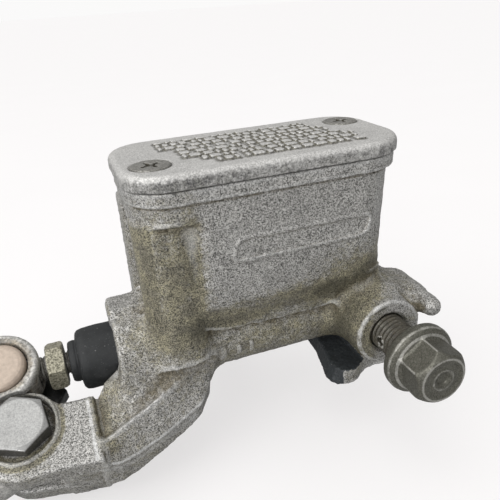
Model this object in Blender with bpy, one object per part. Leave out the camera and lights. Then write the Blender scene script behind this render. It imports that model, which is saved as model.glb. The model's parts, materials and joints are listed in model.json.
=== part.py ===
"""Motorcycle front brake master cylinder with a rectangular reservoir and a lever.

+X runs along the bore to the hose end, +Y (back) towards the rider's handlebar, +Z up to the
cap. Left and right are as seen from the front, so right is +X.
Shapes are written in millimetres about the point where the bore axis meets the face that the
dust boot enters; DATUM then moves everything so that the origin lies on the handlebar clamp's
split face, between the bar's bore and the upper bolt's hole.
The lever works in a plane tilted about the bore axis; shapes that lie in that plane are
written in (x, w, h): w towards the handlebar in the lever's plane, h square to it.
"""
import math

import bmesh
import bpy
from mathutils import Matrix, Vector

MM = 0.001

# ---------------------------------------------------------------- driving dimensions (mm)
GAP = 0.3                                 # clearance between neighbouring parts
LEVER_TILT = 27.0                         # degrees between the lever's plane and the cap's
TILT = Matrix.Rotation(math.radians(LEVER_TILT), 4, "X")
PIVOT = (-23.0, -14.3, 0.0)               # (x, w, h) of the lever's pivot
PIVOT_X, PIVOT_W = PIVOT[:2]
PIVOT_POINT = TILT @ Vector(PIVOT)
BARREL_X = -25.8
BARREL = (BARREL_X, 0.0, 0.0)             # the lever's barrel, on the bore axis

BORE_R = 6.45
PISTON_R = BORE_R - 0.2
PISTON_X = 8.6                            # boot end of the piston
TUBE_R = 9.8
COLLAR_R = 12.3
TUBE_END_X = 69.0

# Rounded rectangles seen from above: x_min, x_max, y_min, y_max, corner radius
CAP_RECT = (6.5, 72.2, -17.2, 16.2, 9.5)
FLANGE_RECT = (9.4, 69.2, -14.1, 13.2, 7.2)        # diaphragm flange and plate
SHIELD_RECT = (21.5, 37.5, -3.6, 3.6, 3.4)
CORNER_EXTRA = 2.8                        # the front right corner is rounder by this much
CAP_TOP_Z = 46.9
PARTING_Z = 43.4                          # underside of the cap
RIM_TOP_Z = PARTING_Z - GAP
RIM_LOW_Z = 40.2
SCREWS = ((13.6, -7.4), (66.0, 7.6))      # x, y: front left, back right
SCREW_HEAD_R = 4.4

HOSE_X, HOSE_Z = 63.6, 0.6
HOSE_AXIS = (HOSE_X, 0.0, HOSE_Z)         # the hose port and its bolt run along Y
BOSS_FACE_Y = -22.4
BOSS_R = 8.6
BANJO_FLANGE_Y = -35.1

# Fork heights h in the lever's plane
EAR_TOP, SLOT_TOP, SLOT_LOW, EAR_LOW = 2.6, -3.3, -11.7, -17.4
KNUCKLE_TOP, KNUCKLE_LOW = SLOT_TOP - GAP, SLOT_LOW + GAP

BAR_Y, BAR_Z, BAR_R = 33.0, 8.0, 11.1     # 22.2 mm handlebar behind the body
BAR_HOLE_R = BAR_R + 0.05
CLAMP_X0, CLAMP_X1 = 20.5, 42.5
CLAMP_X = 0.5 * (CLAMP_X0 + CLAMP_X1)
CLAMP_BOLT_DZ = 18.5
CLAMP_HALF_H = CLAMP_BOLT_DZ + 5.2
CLAMP_PAD = 6.0                           # thickness of the clamp cap under the bolts
SPLIT_Y = BAR_Y - 0.8                     # clamp face on the body
CLAMP_CAP_Y = SPLIT_Y + 2.15              # facing side of the clamp cap
DATUM = Vector((CLAMP_X, SPLIT_Y, BAR_Z + 13.5))

# name: (base colour, roughness, metallic)
FINISHES = {
    "cast": ((0.36, 0.36, 0.34, 1), 0.55, 0.85),
    "cap": ((0.48, 0.48, 0.47, 1), 0.5, 0.8),
    "steel": ((0.30, 0.29, 0.25, 1), 0.45, 0.9),
    "zinc": ((0.50, 0.47, 0.36, 1), 0.5, 0.8),
    "bright": ((0.62, 0.62, 0.60, 1), 0.3, 0.95),
    "barrel": ((0.72, 0.58, 0.46, 1), 0.45, 0.3),
    "rubber": ((0.03, 0.03, 0.032, 1), 0.65, 0.0),
    "plastic": ((0.75, 0.74, 0.68, 1), 0.5, 0.0),
    "brass": ((0.60, 0.48, 0.25, 1), 0.4, 0.9),
}
SHARP_ANGLE = 35                          # degrees; steeper edges are shaded sharp
TIDY_DIST = 0.00001                       # metres; closer vertices are merged


def clear_scene():
    for obj in list(bpy.data.objects):
        bpy.data.objects.remove(obj, do_unlink=True)
    for mesh in list(bpy.data.meshes):
        bpy.data.meshes.remove(mesh)


def material(key):
    name = "mat_" + key
    mat = bpy.data.materials.get(name)
    if mat is None:
        colour, roughness, metallic = FINISHES[key]
        mat = bpy.data.materials.new(name)
        mat.use_nodes = True
        bsdf = mat.node_tree.nodes["Principled BSDF"]
        bsdf.inputs["Base Color"].default_value = colour
        bsdf.inputs["Roughness"].default_value = roughness
        bsdf.inputs["Metallic"].default_value = metallic
        mat.diffuse_color = colour
    return mat


def placed(point):
    """Position in metres of a point of the design frame."""
    return (Vector(point) - DATUM) * MM


def new_object(name, bm, tilt=False, origin=(0, 0, 0)):
    """Turn a bmesh in millimetres into an object in metres, origin at the given point."""
    bmesh.ops.remove_doubles(bm, verts=bm.verts, dist=0.0005)
    bmesh.ops.recalc_face_normals(bm, faces=bm.faces)
    if tilt:
        bm.transform(TILT)
    bm.transform(Matrix.Translation(-Vector(origin)))
    bm.transform(Matrix.Scale(MM, 4))
    mesh = bpy.data.meshes.new(name)
    bm.to_mesh(mesh)
    bm.free()
    obj = bpy.data.objects.new(name, mesh)
    obj.location = placed(origin)
    bpy.context.scene.collection.objects.link(obj)
    return obj


# ---------------------------------------------------------------- shape builders (mm)
def on_circle(radius, degrees, centre=(0.0, 0.0)):
    angle = math.radians(degrees)
    return centre[0] + radius * math.cos(angle), centre[1] + radius * math.sin(angle)


def hexagon(across_flats, phase, centre=(0.0, 0.0)):
    radius = across_flats / math.sqrt(3)
    return [on_circle(radius, math.degrees(phase) + 60 * i, centre) for i in range(6)]


def grown(rect, by, radius_share=1.0):
    """Rounded rectangle moved outwards; the corner radius grows by a share of that."""
    x_min, x_max, y_min, y_max, radius = rect
    return x_min - by, x_max + by, y_min - by, y_max + by, radius + by * radius_share


def rounded_rect(rect, steps, extra=0.0):
    """Outline of a rounded rectangle; extra is added to the radius at (x_max, y_min)."""
    x_min, x_max, y_min, y_max, radius = rect
    radius = min(radius, (x_max - x_min) / 2 - 0.01, (y_max - y_min) / 2 - 0.01)
    wide = radius + extra
    corners = (
        (x_max - wide, y_min + wide, -90, wide),
        (x_max - radius, y_max - radius, 0, radius),
        (x_min + radius, y_max - radius, 90, radius),
        (x_min + radius, y_min + radius, 180, radius),
    )
    return [on_circle(size, start + 90.0 * i / steps, (x, y))
            for x, y, start, size in corners for i in range(steps + 1)]


def loft(rings):
    """Closed solid through rings of equal length, ends capped."""
    bm = bmesh.new()
    loops = [[bm.verts.new(point) for point in ring] for ring in rings]
    for low, high in zip(loops, loops[1:]):
        count = len(low)
        for i in range(count):
            j = (i + 1) % count
            bm.faces.new((low[i], low[j], high[j], high[i]))
    bm.faces.new(loops[0])
    bm.faces.new(list(reversed(loops[-1])))
    quads = [face for face in bm.faces if len(face.verts) == 4 and face.calc_area() > 0]
    bmesh.ops.triangulate(bm, faces=quads)
    return bm


def rect_loft(rows, steps, wide_corner=False):
    """Loft through level rounded rectangles; a row is z followed by the rectangle.

    With wide_corner the front right corner's extra radius comes in between z 8 and z 19.
    """
    rings = []
    for z, *rect in rows:
        extra = CORNER_EXTRA * min(1.0, max(0.0, (z - 8.0) / 11.0)) if wide_corner else 0.0
        rings.append([(x, y, z) for x, y in rounded_rect(rect, steps, extra)])
    return loft(rings)


def prism(outline, start, end, axis="Z"):
    """Extrude an outline. Z: outline is (x, y); Y: outline is (x, z); X: outline is (y, z)."""
    def place(point, along):
        if axis == "Z":
            return (point[0], point[1], along)
        if axis == "Y":
            return (point[0], along, point[1])
        return (along, point[0], point[1])
    return loft([[place(point, along) for point in outline] for along in (start, end)])


def lathe(profile, segments, axis="X", centre=(0, 0, 0), phase=0.0):
    """Solid of revolution through (along, radius) points.

    A profile that starts on the axis must end on it; any other closes on itself as a ring.
    """
    bm = bmesh.new()
    middle = Vector(centre)

    def place(along, radius, angle):
        u, v = radius * math.cos(angle), radius * math.sin(angle)
        if axis == "X":
            return middle + Vector((along, u, v))
        if axis == "Y":
            return middle + Vector((v, along, u))
        return middle + Vector((u, v, along))

    loops = []
    for along, radius in profile:
        if radius < 1e-6:
            loops.append([bm.verts.new(place(along, 0, 0))])
        else:
            loops.append([bm.verts.new(place(along, radius, phase + 2 * math.pi * i / segments))
                          for i in range(segments)])
    pairs = list(zip(loops, loops[1:]))
    if len(loops[0]) > 1:
        pairs.append((loops[-1], loops[0]))
    for near, far in pairs:
        for i in range(segments):
            j = (i + 1) % segments
            if len(near) == 1:
                bm.faces.new((near[0], far[j], far[i]))
            elif len(far) == 1:
                bm.faces.new((near[i], near[j], far[0]))
            else:
                bm.faces.new((near[i], near[j], far[j], far[i]))
    return bm


def turned(profile, segments, axis="X", centre=(0, 0, 0), phase=0.0):
    """Lathe a profile whose two ends are closed by flat faces."""
    closed = [(profile[0][0], 0), *profile, (profile[-1][0], 0)]
    return lathe(closed, segments, axis, centre, phase)


def rod(start, end, radius, segments, axis="X", centre=(0, 0, 0), phase=0.0):
    return turned([(start, radius), (end, radius)], segments, axis, centre, phase)


def ring(start, end, inner, outer, segments, axis="X", centre=(0, 0, 0)):
    profile = [(start, inner), (start, outer), (end, outer), (end, inner)]
    return lathe(profile, segments, axis, centre)


def screw_rods(radius, start, end, segments=20):
    """One upright rod on each cap screw's axis."""
    return [rod(start, end, radius, segments, "Z", (x, y, 0)) for x, y in SCREWS]


# ---------------------------------------------------------------- booleans and finishing
def combine(target, tool, operation):
    """Apply a boolean of a second object and drop it."""
    mod = target.modifiers.new(operation, "BOOLEAN")
    mod.object = tool
    mod.operation = operation
    mod.solver = "EXACT"
    bpy.context.view_layer.update()
    deps = bpy.context.evaluated_depsgraph_get()
    mesh = bpy.data.meshes.new_from_object(target.evaluated_get(deps))
    target.modifiers.remove(mod)
    target.data = mesh
    bpy.data.objects.remove(tool, do_unlink=True)


def join(obj, *solids, tilt=False):
    for bm in solids:
        combine(obj, new_object("tool", bm, tilt), "UNION")


def cut(obj, *solids, tilt=False):
    for bm in solids:
        combine(obj, new_object("tool", bm, tilt), "DIFFERENCE")


def trim(obj, bm, tilt=False):
    """Keep only what lies inside the solid."""
    combine(obj, new_object("tool", bm, tilt), "INTERSECT")


def tidy(obj):
    bm = bmesh.new()
    bm.from_mesh(obj.data)
    bmesh.ops.remove_doubles(bm, verts=bm.verts, dist=TIDY_DIST)
    bmesh.ops.dissolve_degenerate(bm, edges=bm.edges, dist=TIDY_DIST)
    rim = [edge for edge in bm.edges if len(edge.link_faces) == 1]
    if rim:
        bmesh.ops.holes_fill(bm, edges=rim, sides=8)
        bmesh.ops.recalc_face_normals(bm, faces=bm.faces)
    bm.to_mesh(obj.data)
    bm.free()


def finish(obj, key):
    tidy(obj)
    obj.data.materials.clear()
    obj.data.materials.append(material(key))
    obj.data.shade_smooth()
    obj.data.set_sharp_from_angle(angle=math.radians(SHARP_ANGLE))


# ---------------------------------------------------------------- body casting
RIM_RECT = (*grown(CAP_RECT, -0.55)[:4], 9.3)

# Outside of the reservoir from the bore to the rim: z, x_min, x_max, y_min, y_max, radius
RESERVOIR = (
    (1.0, 18.0, 62.0, -4.5, 5.5, 4.0),
    (6.0, 13.0, 66.5, -9.0, 9.5, 6.0),
    (10.0, 10.2, 68.6, -12.4, 12.0, 7.5),
    (14.5, 9.0, 69.2, -14.6, 13.6, 8.6),
    (19.5, 8.5, 69.5, -15.4, 14.4, 9.0),
    (RIM_LOW_Z, 7.4, 70.4, -16.0, 15.1, 9.2),
    (RIM_LOW_Z + 0.5, *RIM_RECT),
    (RIM_TOP_Z, *RIM_RECT),
)
# Inside of the reservoir, same columns
POCKET = (
    (13.5, 16.0, 63.0, -8.0, 8.0, 6.5),
    (17.5, 12.6, 66.2, -11.6, 11.0, 6.5),
    (PARTING_Z + 2.0, 10.6, 67.8, -13.0, 12.2, 6.5),
)
# Screw columns: radius, shift in x and in y from the screw
COLUMNS = ((7.1, 1.1, -0.8), (7.4, -0.6, 0.0))

# Sections of the lever arm from the tube out to the fork:
# x, inner w, ridge w and h, facet w and h, outer side w and h, underside w and h
ARM = (
    (20.6, -2.0, -11.0, 1.8, -12.0, -1.0, -12.0, -4.0, -8.0, -7.0),
    (19.6, -2.0, -11.6, 2.3, -14.9, -1.0, -15.4, -4.6, -11.0, -7.8),
    (16.5, -2.0, -12.2, 2.6, -18.7, -1.6, -19.6, -5.4, -15.0, -8.6),
    (11.5, -2.0, -14.4, 2.8, -21.0, -1.9, -22.4, -6.2, -18.0, -9.6),
    (5.5, -2.0, -17.2, 2.9, -23.6, -2.0, -24.9, -7.4, -21.5, -11.0),
    (-0.3, -8.4, -19.8, 3.0, -25.6, -2.0, -26.8, -9.0, -24.0, -12.8),
    (-4.2, -8.8, -21.6, 3.0, -26.6, -1.6, -27.6, -10.6, -25.0, -14.6),
    (-6.6, -11.9, -22.3, 2.8, -26.6, -0.6, -27.4, -11.6, -25.3, -16.2),
    (-8.4, -11.9, -22.6, 2.3, -26.4, -0.2, -27.1, -12.4, -25.3, -16.9),
)
# Solid root that closes the fork's slot: x, w
FORK_ROOT = (
    (-14.63, -11.6), (-14.2, -14.3), (-14.73, -17.3), (-16.26, -19.96), (-17.0, -22.0),
    (-16.6, -24.2), (-15.4, -25.35), (-7.5, -26.0), (-7.5, -11.7),
)

# Prong at the right of the hose boss and the web that carries it: x, z
PRONG_RECT = (73.6, 77.6, 2.9, 6.7, 1.4)
PRONG_WEB = (
    (60.0, 3.5), (60.0, -4.5), (69.0, -6.5), (73.4, -4.0), (77.0, 3.2), (77.2, 5.6),
    (75.5, 6.5), (70.0, 9.5), (64.0, 9.5),
)
# Tongue below the hose boss: x, y, how far the lower edge stands to the left
TONGUE = (
    (53.8, 2.0, 0.8), (53.4, -4.0, 0.8), (52.5, -10.0, 1.2), (51.4, -15.6, 1.6),
    (51.9, -18.6, 1.3), (53.9, -20.1, 0.8), (56.6, -19.8, 0.2), (61.4, -16.0, 0.0),
    (63.6, -10.0, 0.0), (64.0, -4.0, 0.0), (64.0, 2.0, 0.0),
)
# Block between the tongue and the boss: x, z
TONGUE_BLOCK = (
    (58.0, -13.7), (61.5, -13.7), (66.5, -11.0), (66.5, -4.0), (60.5, -4.0), (60.5, -9.65),
    (58.0, -9.65),
)
# Web under the boss whose front side runs on from the tongue's edge: x, y
BOSS_WEB = (
    (59.7, -17.2), (60.7, -16.4), (63.1, -15.8), (66.1, -16.2), (69.1, -17.3), (70.3, -15.1),
    (69.1, -6.1), (59.7, -6.1),
)
# Root of the tongue under the tube: y, z
TONGUE_ROOT = ((-3.6, -13.1), (3.1, -12.2), (3.1, -7.0), (-3.6, -7.0))
# Saddle for the handlebar clamp: y, z
SADDLE = (
    (4.0, -9.0), (20.0, BAR_Z - CLAMP_HALF_H), (SPLIT_Y, BAR_Z - CLAMP_HALF_H),
    (SPLIT_Y, BAR_Z + CLAMP_HALF_H), (20.5, BAR_Z + CLAMP_HALF_H), (12.5, 30.8), (6.0, 18.0),
    (0.0, 4.0), (0.0, -8.5),
)

# Profiles: along the axis, radius
TUBE = (
    (0, COLLAR_R - 0.5), (0.5, COLLAR_R), (13.5, COLLAR_R), (17.5, 10.9), (22, TUBE_R),
    (TUBE_END_X - 1.5, TUBE_R), (TUBE_END_X, TUBE_R - 1.5),
)
HOSE_BOSS = (
    (BOSS_FACE_Y, BOSS_R - 0.3), (BOSS_FACE_Y + 0.3, BOSS_R), (-14, BOSS_R + 0.3),
    (-9.5, BOSS_R + 1.0), (-4, BOSS_R + 1.6),
)
BORE = (                                  # boot's counterbore, circlip's counterbore, bore
    (-1, 8.9), (4.6, 8.9), (4.6, 7.6), (8.2, 7.6), (8.2, BORE_R), (58.0, BORE_R),
    (60.5, 3.2), (66.0, 3.2),
)
HOSE_PORT = (
    (-30.0, 5.6), (BOSS_FACE_Y, 5.6), (BOSS_FACE_Y + 0.7, 4.95), (-8.0, 4.95), (-6.0, 2.5),
    (1.0, 2.5),
)
SPOT_RING = (                             # raised ring round the pivot bolt's spot-face
    (EAR_TOP - 1.5, 6.0), (EAR_TOP - 1.5, 8.05), (EAR_TOP + 0.3, 8.05),
    (EAR_TOP + 0.55, 7.85), (EAR_TOP + 0.55, 6.0),
)
# Fluid ports from the reservoir into the bore: x, radius, segments, phase
FLUID_PORTS = ((26.0, 1.4, 10, 0.13), (33.0, 0.5, 8, 0.17))
# Holes through the fork at the pivot: start, end, radius, segments, phase
PIVOT_HOLES = (
    (0.0, 12.0, 7.3, 26, 0.0),                      # spot-face
    (SLOT_LOW - 1.0, 12.0, 4.15, 24, 0.07),         # shoulder
    (-30.0, SLOT_LOW + 1.0, 3.15, 20, 0.11),        # thread
)


def arm():
    rings = []
    for x, inner, ridge_w, ridge_h, facet_w, facet_h, side_w, side_h, low_w, low_h in ARM:
        top = 1.2 if x > -6 else 1.0
        rings.append([(x, inner, top), (x, ridge_w + 1.3, top), (x, ridge_w, ridge_h),
                      (x, facet_w, facet_h), (x, side_w, side_h), (x, low_w, low_h),
                      (x, inner, low_h)])
    return loft(rings)


def ear_outline(radius_out, inner_w, outer_w, end_x, radius_in=8.2):
    """Outline of one fork ear in (x, w), rounded about the pivot."""
    outline = []
    for i in range(13):                   # from the inner side over the tip to the outer side
        degrees = 62 + 200 * i / 12
        radius = radius_in + (radius_out - radius_in) * max(0.0, (degrees - 150.0) / 112.0)
        outline.append(on_circle(radius, degrees, PIVOT))
    return outline + [(-16.0, outer_w - 1.4), (-9.0, outer_w - 2.2), (end_x, outer_w - 2.3),
                      (end_x, inner_w), (-14.6, inner_w + 0.3)]


def upper_ear():
    """The upper ear, drawn in a little at its top."""
    rings = []
    for height, scale in ((SLOT_TOP, 1.0), (EAR_TOP - 0.7, 1.0), (EAR_TOP, 0.955)):
        rings.append([(PIVOT_X + (x - PIVOT_X) * scale, PIVOT_W + (w - PIVOT_W) * scale, height)
                      for x, w in ear_outline(11.3, -11.2, -24.2, -7.1)])
    return loft(rings)


def screw_column(screw, column):
    radius, shift_x, shift_y = column
    profile = [(8.0, radius - 2.2), (14.0, radius - 0.6), (37.0, radius),
               (38.4, radius - 0.7), (40.6, radius - 1.0)]
    return turned(profile, 18, "Z", (screw[0] + shift_x, screw[1] + shift_y, 0))


def add_fork(body):
    lower_ear = prism(ear_outline(9.4, -11.45, -23.4, -7.9), EAR_LOW, SLOT_LOW)
    root = prism(FORK_ROOT, EAR_LOW + 1.1, SLOT_TOP + 1.0)
    join(body, arm(), upper_ear(), lower_ear, root, tilt=True)


def add_hose_end(body):
    """Hose boss with the prong beside it and the tongue below it."""
    join(body,
         turned(HOSE_BOSS, 26, "Y", HOSE_AXIS),
         prism(rounded_rect(PRONG_RECT, 3), -24.4, -8.0, "Y"),
         prism(PRONG_WEB, -16.8, -5.0, "Y"),
         loft([[(x - shift, y, -13.8) for x, y, shift in TONGUE],
               [(x, y, -9.6) for x, y, shift in TONGUE]]),
         prism(TONGUE_BLOCK, -13.9, -4.1, "Y"),
         prism(BOSS_WEB, -12.9, -5.2),
         prism(TONGUE_ROOT, 54.6, 63.4, "X"))


def cut_pocket(body):
    """Hollow the reservoir, leaving the two screw columns."""
    pocket = new_object("pocket", rect_loft(POCKET, 5))
    cut(pocket, *screw_rods(5.2, 0, 60, 16))
    combine(body, pocket, "DIFFERENCE")


def cut_bores(body):
    cut(body, turned(BORE, 24), turned(HOSE_PORT, 20, "Y", HOSE_AXIS))
    for x, radius, segments, phase in FLUID_PORTS:
        cut(body, rod(3.0, 20.0, radius, segments, "Z", (x, 0.21, 0), phase))
    cut(body, *screw_rods(2.2, 26.0, 50.0, 12))


def cut_pivot(body):
    join(body, lathe(SPOT_RING, 26, "Z", PIVOT), tilt=True)
    for start, end, radius, segments, phase in PIVOT_HOLES:
        cut(body, rod(start, end, radius, segments, "Z", PIVOT, phase), tilt=True)


def bar_hole():
    return rod(CLAMP_X0 - 5, CLAMP_X1 + 5, BAR_HOLE_R, 32, "X", (0, BAR_Y, BAR_Z))


def build_body():
    body = new_object("body_casting", rect_loft(RESERVOIR, 4, wide_corner=True))
    join(body, turned(TUBE, 28))
    join(body, *[screw_column(screw, column) for screw, column in zip(SCREWS, COLUMNS)])
    add_fork(body)
    add_hose_end(body)
    join(body, prism(SADDLE, CLAMP_X0, CLAMP_X1, "X"))
    cut_pocket(body)
    cut_bores(body)
    cut_pivot(body)
    cut(body, bar_hole())
    for side in (-1, 1):
        bolt_axis = (CLAMP_X, 0, BAR_Z + side * CLAMP_BOLT_DZ)
        cut(body, rod(19.0, 60.0, 2.6, 12, "Y", bolt_axis))
    # register in the top of the rim for the diaphragm's flange
    register = rounded_rect(grown(FLANGE_RECT, 0.4), 4)
    cut(body, prism(register, RIM_TOP_Z - 1.0, PARTING_Z + 3.0))
    finish(body, "cast")


# ---------------------------------------------------------------- cap group
# Edge of the cap: z, inset from CAP_RECT
CAP_EDGE = (
    (PARTING_Z, 0.12), (PARTING_Z + 0.3, 0.0), (CAP_TOP_Z - 1.4, 0.15),
    (CAP_TOP_Z - 0.5, 0.5), (CAP_TOP_Z - 0.12, 1.0), (CAP_TOP_Z, 1.7),
)
COUNTERSINK_R = SCREW_HEAD_R + 0.35
COUNTERSINK = (
    (PARTING_Z - 2, 2.8), (CAP_TOP_Z - 2.25, 2.8), (CAP_TOP_Z - 0.15, COUNTERSINK_R),
    (CAP_TOP_Z + 1, COUNTERSINK_R),
)
SCREW_TOP_Z = CAP_TOP_Z + 0.05
# Cap screw: depth below its top, radius
CAP_SCREW = (
    (0.0, SCREW_HEAD_R - 0.25), (0.35, SCREW_HEAD_R), (2.3, 2.45), (4.6, 2.3), (4.8, 1.95),
    (17.5, 1.95), (18.2, 1.4),
)
CROSS_SLOT = ((-2.1, -0.42), (2.1, -0.42), (2.1, 0.42), (-2.1, 0.42))    # along, across
SCREW_CLEARANCE_R = 2.9                   # round the screws in the diaphragm and its plate

FLANGE_Z = RIM_TOP_Z - 0.7                # underside of the diaphragm's flange
# Diaphragm's bag and flange: z, x_min, x_max, y_min, y_max, radius
DIAPHRAGM_OUTSIDE = (
    (FLANGE_Z - 11.0, 15.5, 63.5, -8.4, 7.6, 4.0),
    (FLANGE_Z - 8.0, 14.4, 64.4, -10.4, 9.6, 5.0),
    (FLANGE_Z - 0.02, 12.0, 66.6, -11.8, 11.0, 5.6),
    (FLANGE_Z, *FLANGE_RECT),
    (FLANGE_Z + 1.2, *FLANGE_RECT),
)
DIAPHRAGM_INSIDE = (
    (FLANGE_Z - 9.8, 16.8, 62.2, -7.2, 6.4, 3.0),
    (FLANGE_Z - 8.0, 16.2, 62.8, -9.0, 8.2, 4.0),
    (FLANGE_Z + 3.0, 13.4, 65.2, -10.4, 9.6, 4.6),
)
PLATE_Z = RIM_TOP_Z + 0.75
PLATE_WINDOW = (24.0, 54.0, -5.0, 4.5, 4.7)


def build_cap():
    rows = [(z, *grown(CAP_RECT, -inset, 0.7)) for z, inset in CAP_EDGE]
    cap = new_object("reservoir_cap", rect_loft(rows, 5, wide_corner=True))
    recess = rounded_rect(grown(FLANGE_RECT, 0.6), 4)
    cut(cap, prism(recess, PARTING_Z - 1.0, PARTING_Z + 1.5))
    cut(cap, *[turned(COUNTERSINK, 20, "Z", (x, y, 0)) for x, y in SCREWS])
    finish(cap, "cap")


def build_cap_screws():
    profile = [(SCREW_TOP_Z - depth, radius) for depth, radius in CAP_SCREW]
    for name, (x, y) in zip(("cap_screw_front_left", "cap_screw_back_right"), SCREWS):
        screw = new_object(name, turned(profile, 16, "Z", (x, y, 0)),
                           origin=(x, y, SCREW_TOP_Z))
        for angle in (0.35, 0.35 + math.pi / 2):
            cos, sin = math.cos(angle), math.sin(angle)
            slot = [(x + cos * along - sin * across, y + sin * along + cos * across)
                    for along, across in CROSS_SLOT]
            cut(screw, prism(slot, SCREW_TOP_Z - 1.3, SCREW_TOP_Z + 1.0))
        finish(screw, "steel")


def build_diaphragm():
    diaphragm = new_object("rubber_diaphragm", rect_loft(DIAPHRAGM_OUTSIDE, 5))
    # the bag is drawn in beside the two screws, outside and inside
    cut(diaphragm, *screw_rods(5.9, FLANGE_Z - 20, FLANGE_Z - 0.01))
    inside = new_object("tool", rect_loft(DIAPHRAGM_INSIDE, 5))
    cut(inside, *screw_rods(7.1, 0, 60))
    combine(diaphragm, inside, "DIFFERENCE")
    cut(diaphragm, *screw_rods(SCREW_CLEARANCE_R, FLANGE_Z - 20, FLANGE_Z + 20))
    finish(diaphragm, "rubber")


def build_diaphragm_plate():
    outline = rounded_rect(FLANGE_RECT, 5)
    plate = new_object("diaphragm_plate", prism(outline, PLATE_Z, PLATE_Z + 0.8))
    cut(plate, *screw_rods(SCREW_CLEARANCE_R, 30, 60))
    cut(plate, prism(rounded_rect(PLATE_WINDOW, 5), PLATE_Z - 1, PLATE_Z + 2))
    finish(plate, "plastic")


def build_port_shield():
    """Small cover over the two fluid ports on the reservoir's floor."""
    shield = new_object("port_shield", prism(rounded_rect(SHIELD_RECT, 4), 13.8, 15.6))
    cut(shield, prism(rounded_rect(grown(SHIELD_RECT, -1.1), 4), 13.0, 15.0))
    cut(shield, *[rod(-10, 10, 0.9, 10, "Y", (x, 0, 13.8)) for x in (24.5, 34.5)])
    finish(shield, "bright")


# ---------------------------------------------------------------- inside the bore
# Profiles: x, radius
PISTON = (
    (PISTON_X, 5.9), (9.0, PISTON_R), (12.4, PISTON_R), (12.4, 4.1), (15.2, 4.1),
    (15.2, PISTON_R), (17.4, PISTON_R), (18.2, 4.3), (31.2, 4.3), (31.6, PISTON_R),
    (33.4, PISTON_R), (33.6, 3.9), (36.6, 3.9), (36.6, 4.7), (37.4, 4.7), (38.0, 3.4),
    (41.2, 3.1),
)
PUSH_ROD_SEAT = ((8.0, 3.6), (13.4, 2.9), (14.6, 1.4))
CUPS = {
    "primary_cup": ((33.9, 4.2), (33.9, 5.9), (36.4, 6.2), (36.4, 5.7), (35.2, 4.8),
                    (36.3, 4.2)),
    "secondary_cup": ((12.7, 4.4), (12.7, 5.9), (14.9, 6.2), (14.9, 5.7), (13.8, 4.9),
                      (14.9, 4.4)),
}
BOOT = (
    (4.3, 5.0), (4.3, 8.4), (1.2, 8.4), (0.9, 7.7), (-0.2, 7.5), (-7.6, 7.2), (-8.6, 6.6),
    (-8.9, 5.6), (-9.0, 4.7), (-10.6, 4.5), (-10.9, 4.1), (-10.9, 3.35), (-8.1, 3.35),
    (-7.8, 4.6), (-7.3, 6.0), (0.4, 6.4), (2.2, 6.4), (2.6, 5.0),
)
SPRING_TURNS, SPRING_STEPS = 6, 12        # steps per turn
SPRING_X0, SPRING_X1 = 38.9, 57.3
SPRING_R0, SPRING_R1 = 4.3, 5.3           # the coil widens towards the hose end
WIRE_R, WIRE_SIDES = 0.55, 5
CLIP_OUTER_R, CLIP_INNER_R = 7.3, 5.9
CLIP_START, CLIP_END = -60, 240           # degrees from +Y; the gap is at the bottom


def build_piston():
    piston = new_object("piston", turned(PISTON, 18), origin=(PISTON_X, 0, 0))
    cut(piston, turned(PUSH_ROD_SEAT, 12))
    finish(piston, "bright")


def build_cups():
    for name, profile in CUPS.items():
        cup = new_object(name, lathe(profile, 18), origin=(profile[0][0], 0, 0))
        finish(cup, "rubber")


def build_spring():
    """Widening coil whose pitch closes at both ends."""
    total = SPRING_TURNS * SPRING_STEPS
    length = SPRING_X1 - SPRING_X0
    rings = []
    for k in range(total + 1):
        share = k / total
        x = SPRING_X0 + length * (share - 0.045 * math.sin(2 * math.pi * share))
        radius = SPRING_R0 + (SPRING_R1 - SPRING_R0) * share
        angle = 2 * math.pi * k / SPRING_STEPS
        radial = Vector((0, math.cos(angle), math.sin(angle)))
        centre = Vector((x, radius * math.cos(angle), radius * math.sin(angle)))
        tangent = Vector((length / (2 * math.pi * SPRING_TURNS), -radius * math.sin(angle),
                          radius * math.cos(angle))).normalized()
        across = tangent.cross(radial)
        wire = [on_circle(WIRE_R, 360 * i / WIRE_SIDES) for i in range(WIRE_SIDES)]
        rings.append([centre + radial * u + across * v for u, v in wire])
    bm = bmesh.new()
    loops = [[bm.verts.new(point) for point in points] for points in rings]
    for near, far in zip(loops, loops[1:]):
        for i in range(WIRE_SIDES):
            j = (i + 1) % WIRE_SIDES
            bm.faces.new((near[i], near[j], far[j], far[i]))
    bm.faces.new(loops[0])
    bm.faces.new(list(reversed(loops[-1])))
    finish(new_object("return_spring", bm, origin=(SPRING_X1, 0, 0)), "steel")


def build_stop_washer():
    finish(new_object("stop_washer", ring(7.3, 7.9, 4.6, 7.3, 24)), "steel")


def build_circlip():
    sweep = [CLIP_START + (CLIP_END - CLIP_START) * i / 14 for i in range(15)]
    outline = [on_circle(CLIP_OUTER_R, degrees) for degrees in sweep]
    outline += [on_circle(CLIP_INNER_R, degrees) for degrees in reversed(sweep)]
    clip = new_object("circlip", prism(outline, 5.7, 6.8, "X"))
    for degrees in (CLIP_START, CLIP_END):          # an eye at each end
        join(clip, rod(5.72, 6.78, 1.1, 12, "X", (0, *on_circle(5.75, degrees))))
        cut(clip, rod(4, 8, 0.5, 8, "X", (0, *on_circle(5.7, degrees))))
    finish(clip, "steel")


def build_boot():
    finish(new_object("dust_boot", lathe(BOOT, 20)), "rubber")


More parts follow.
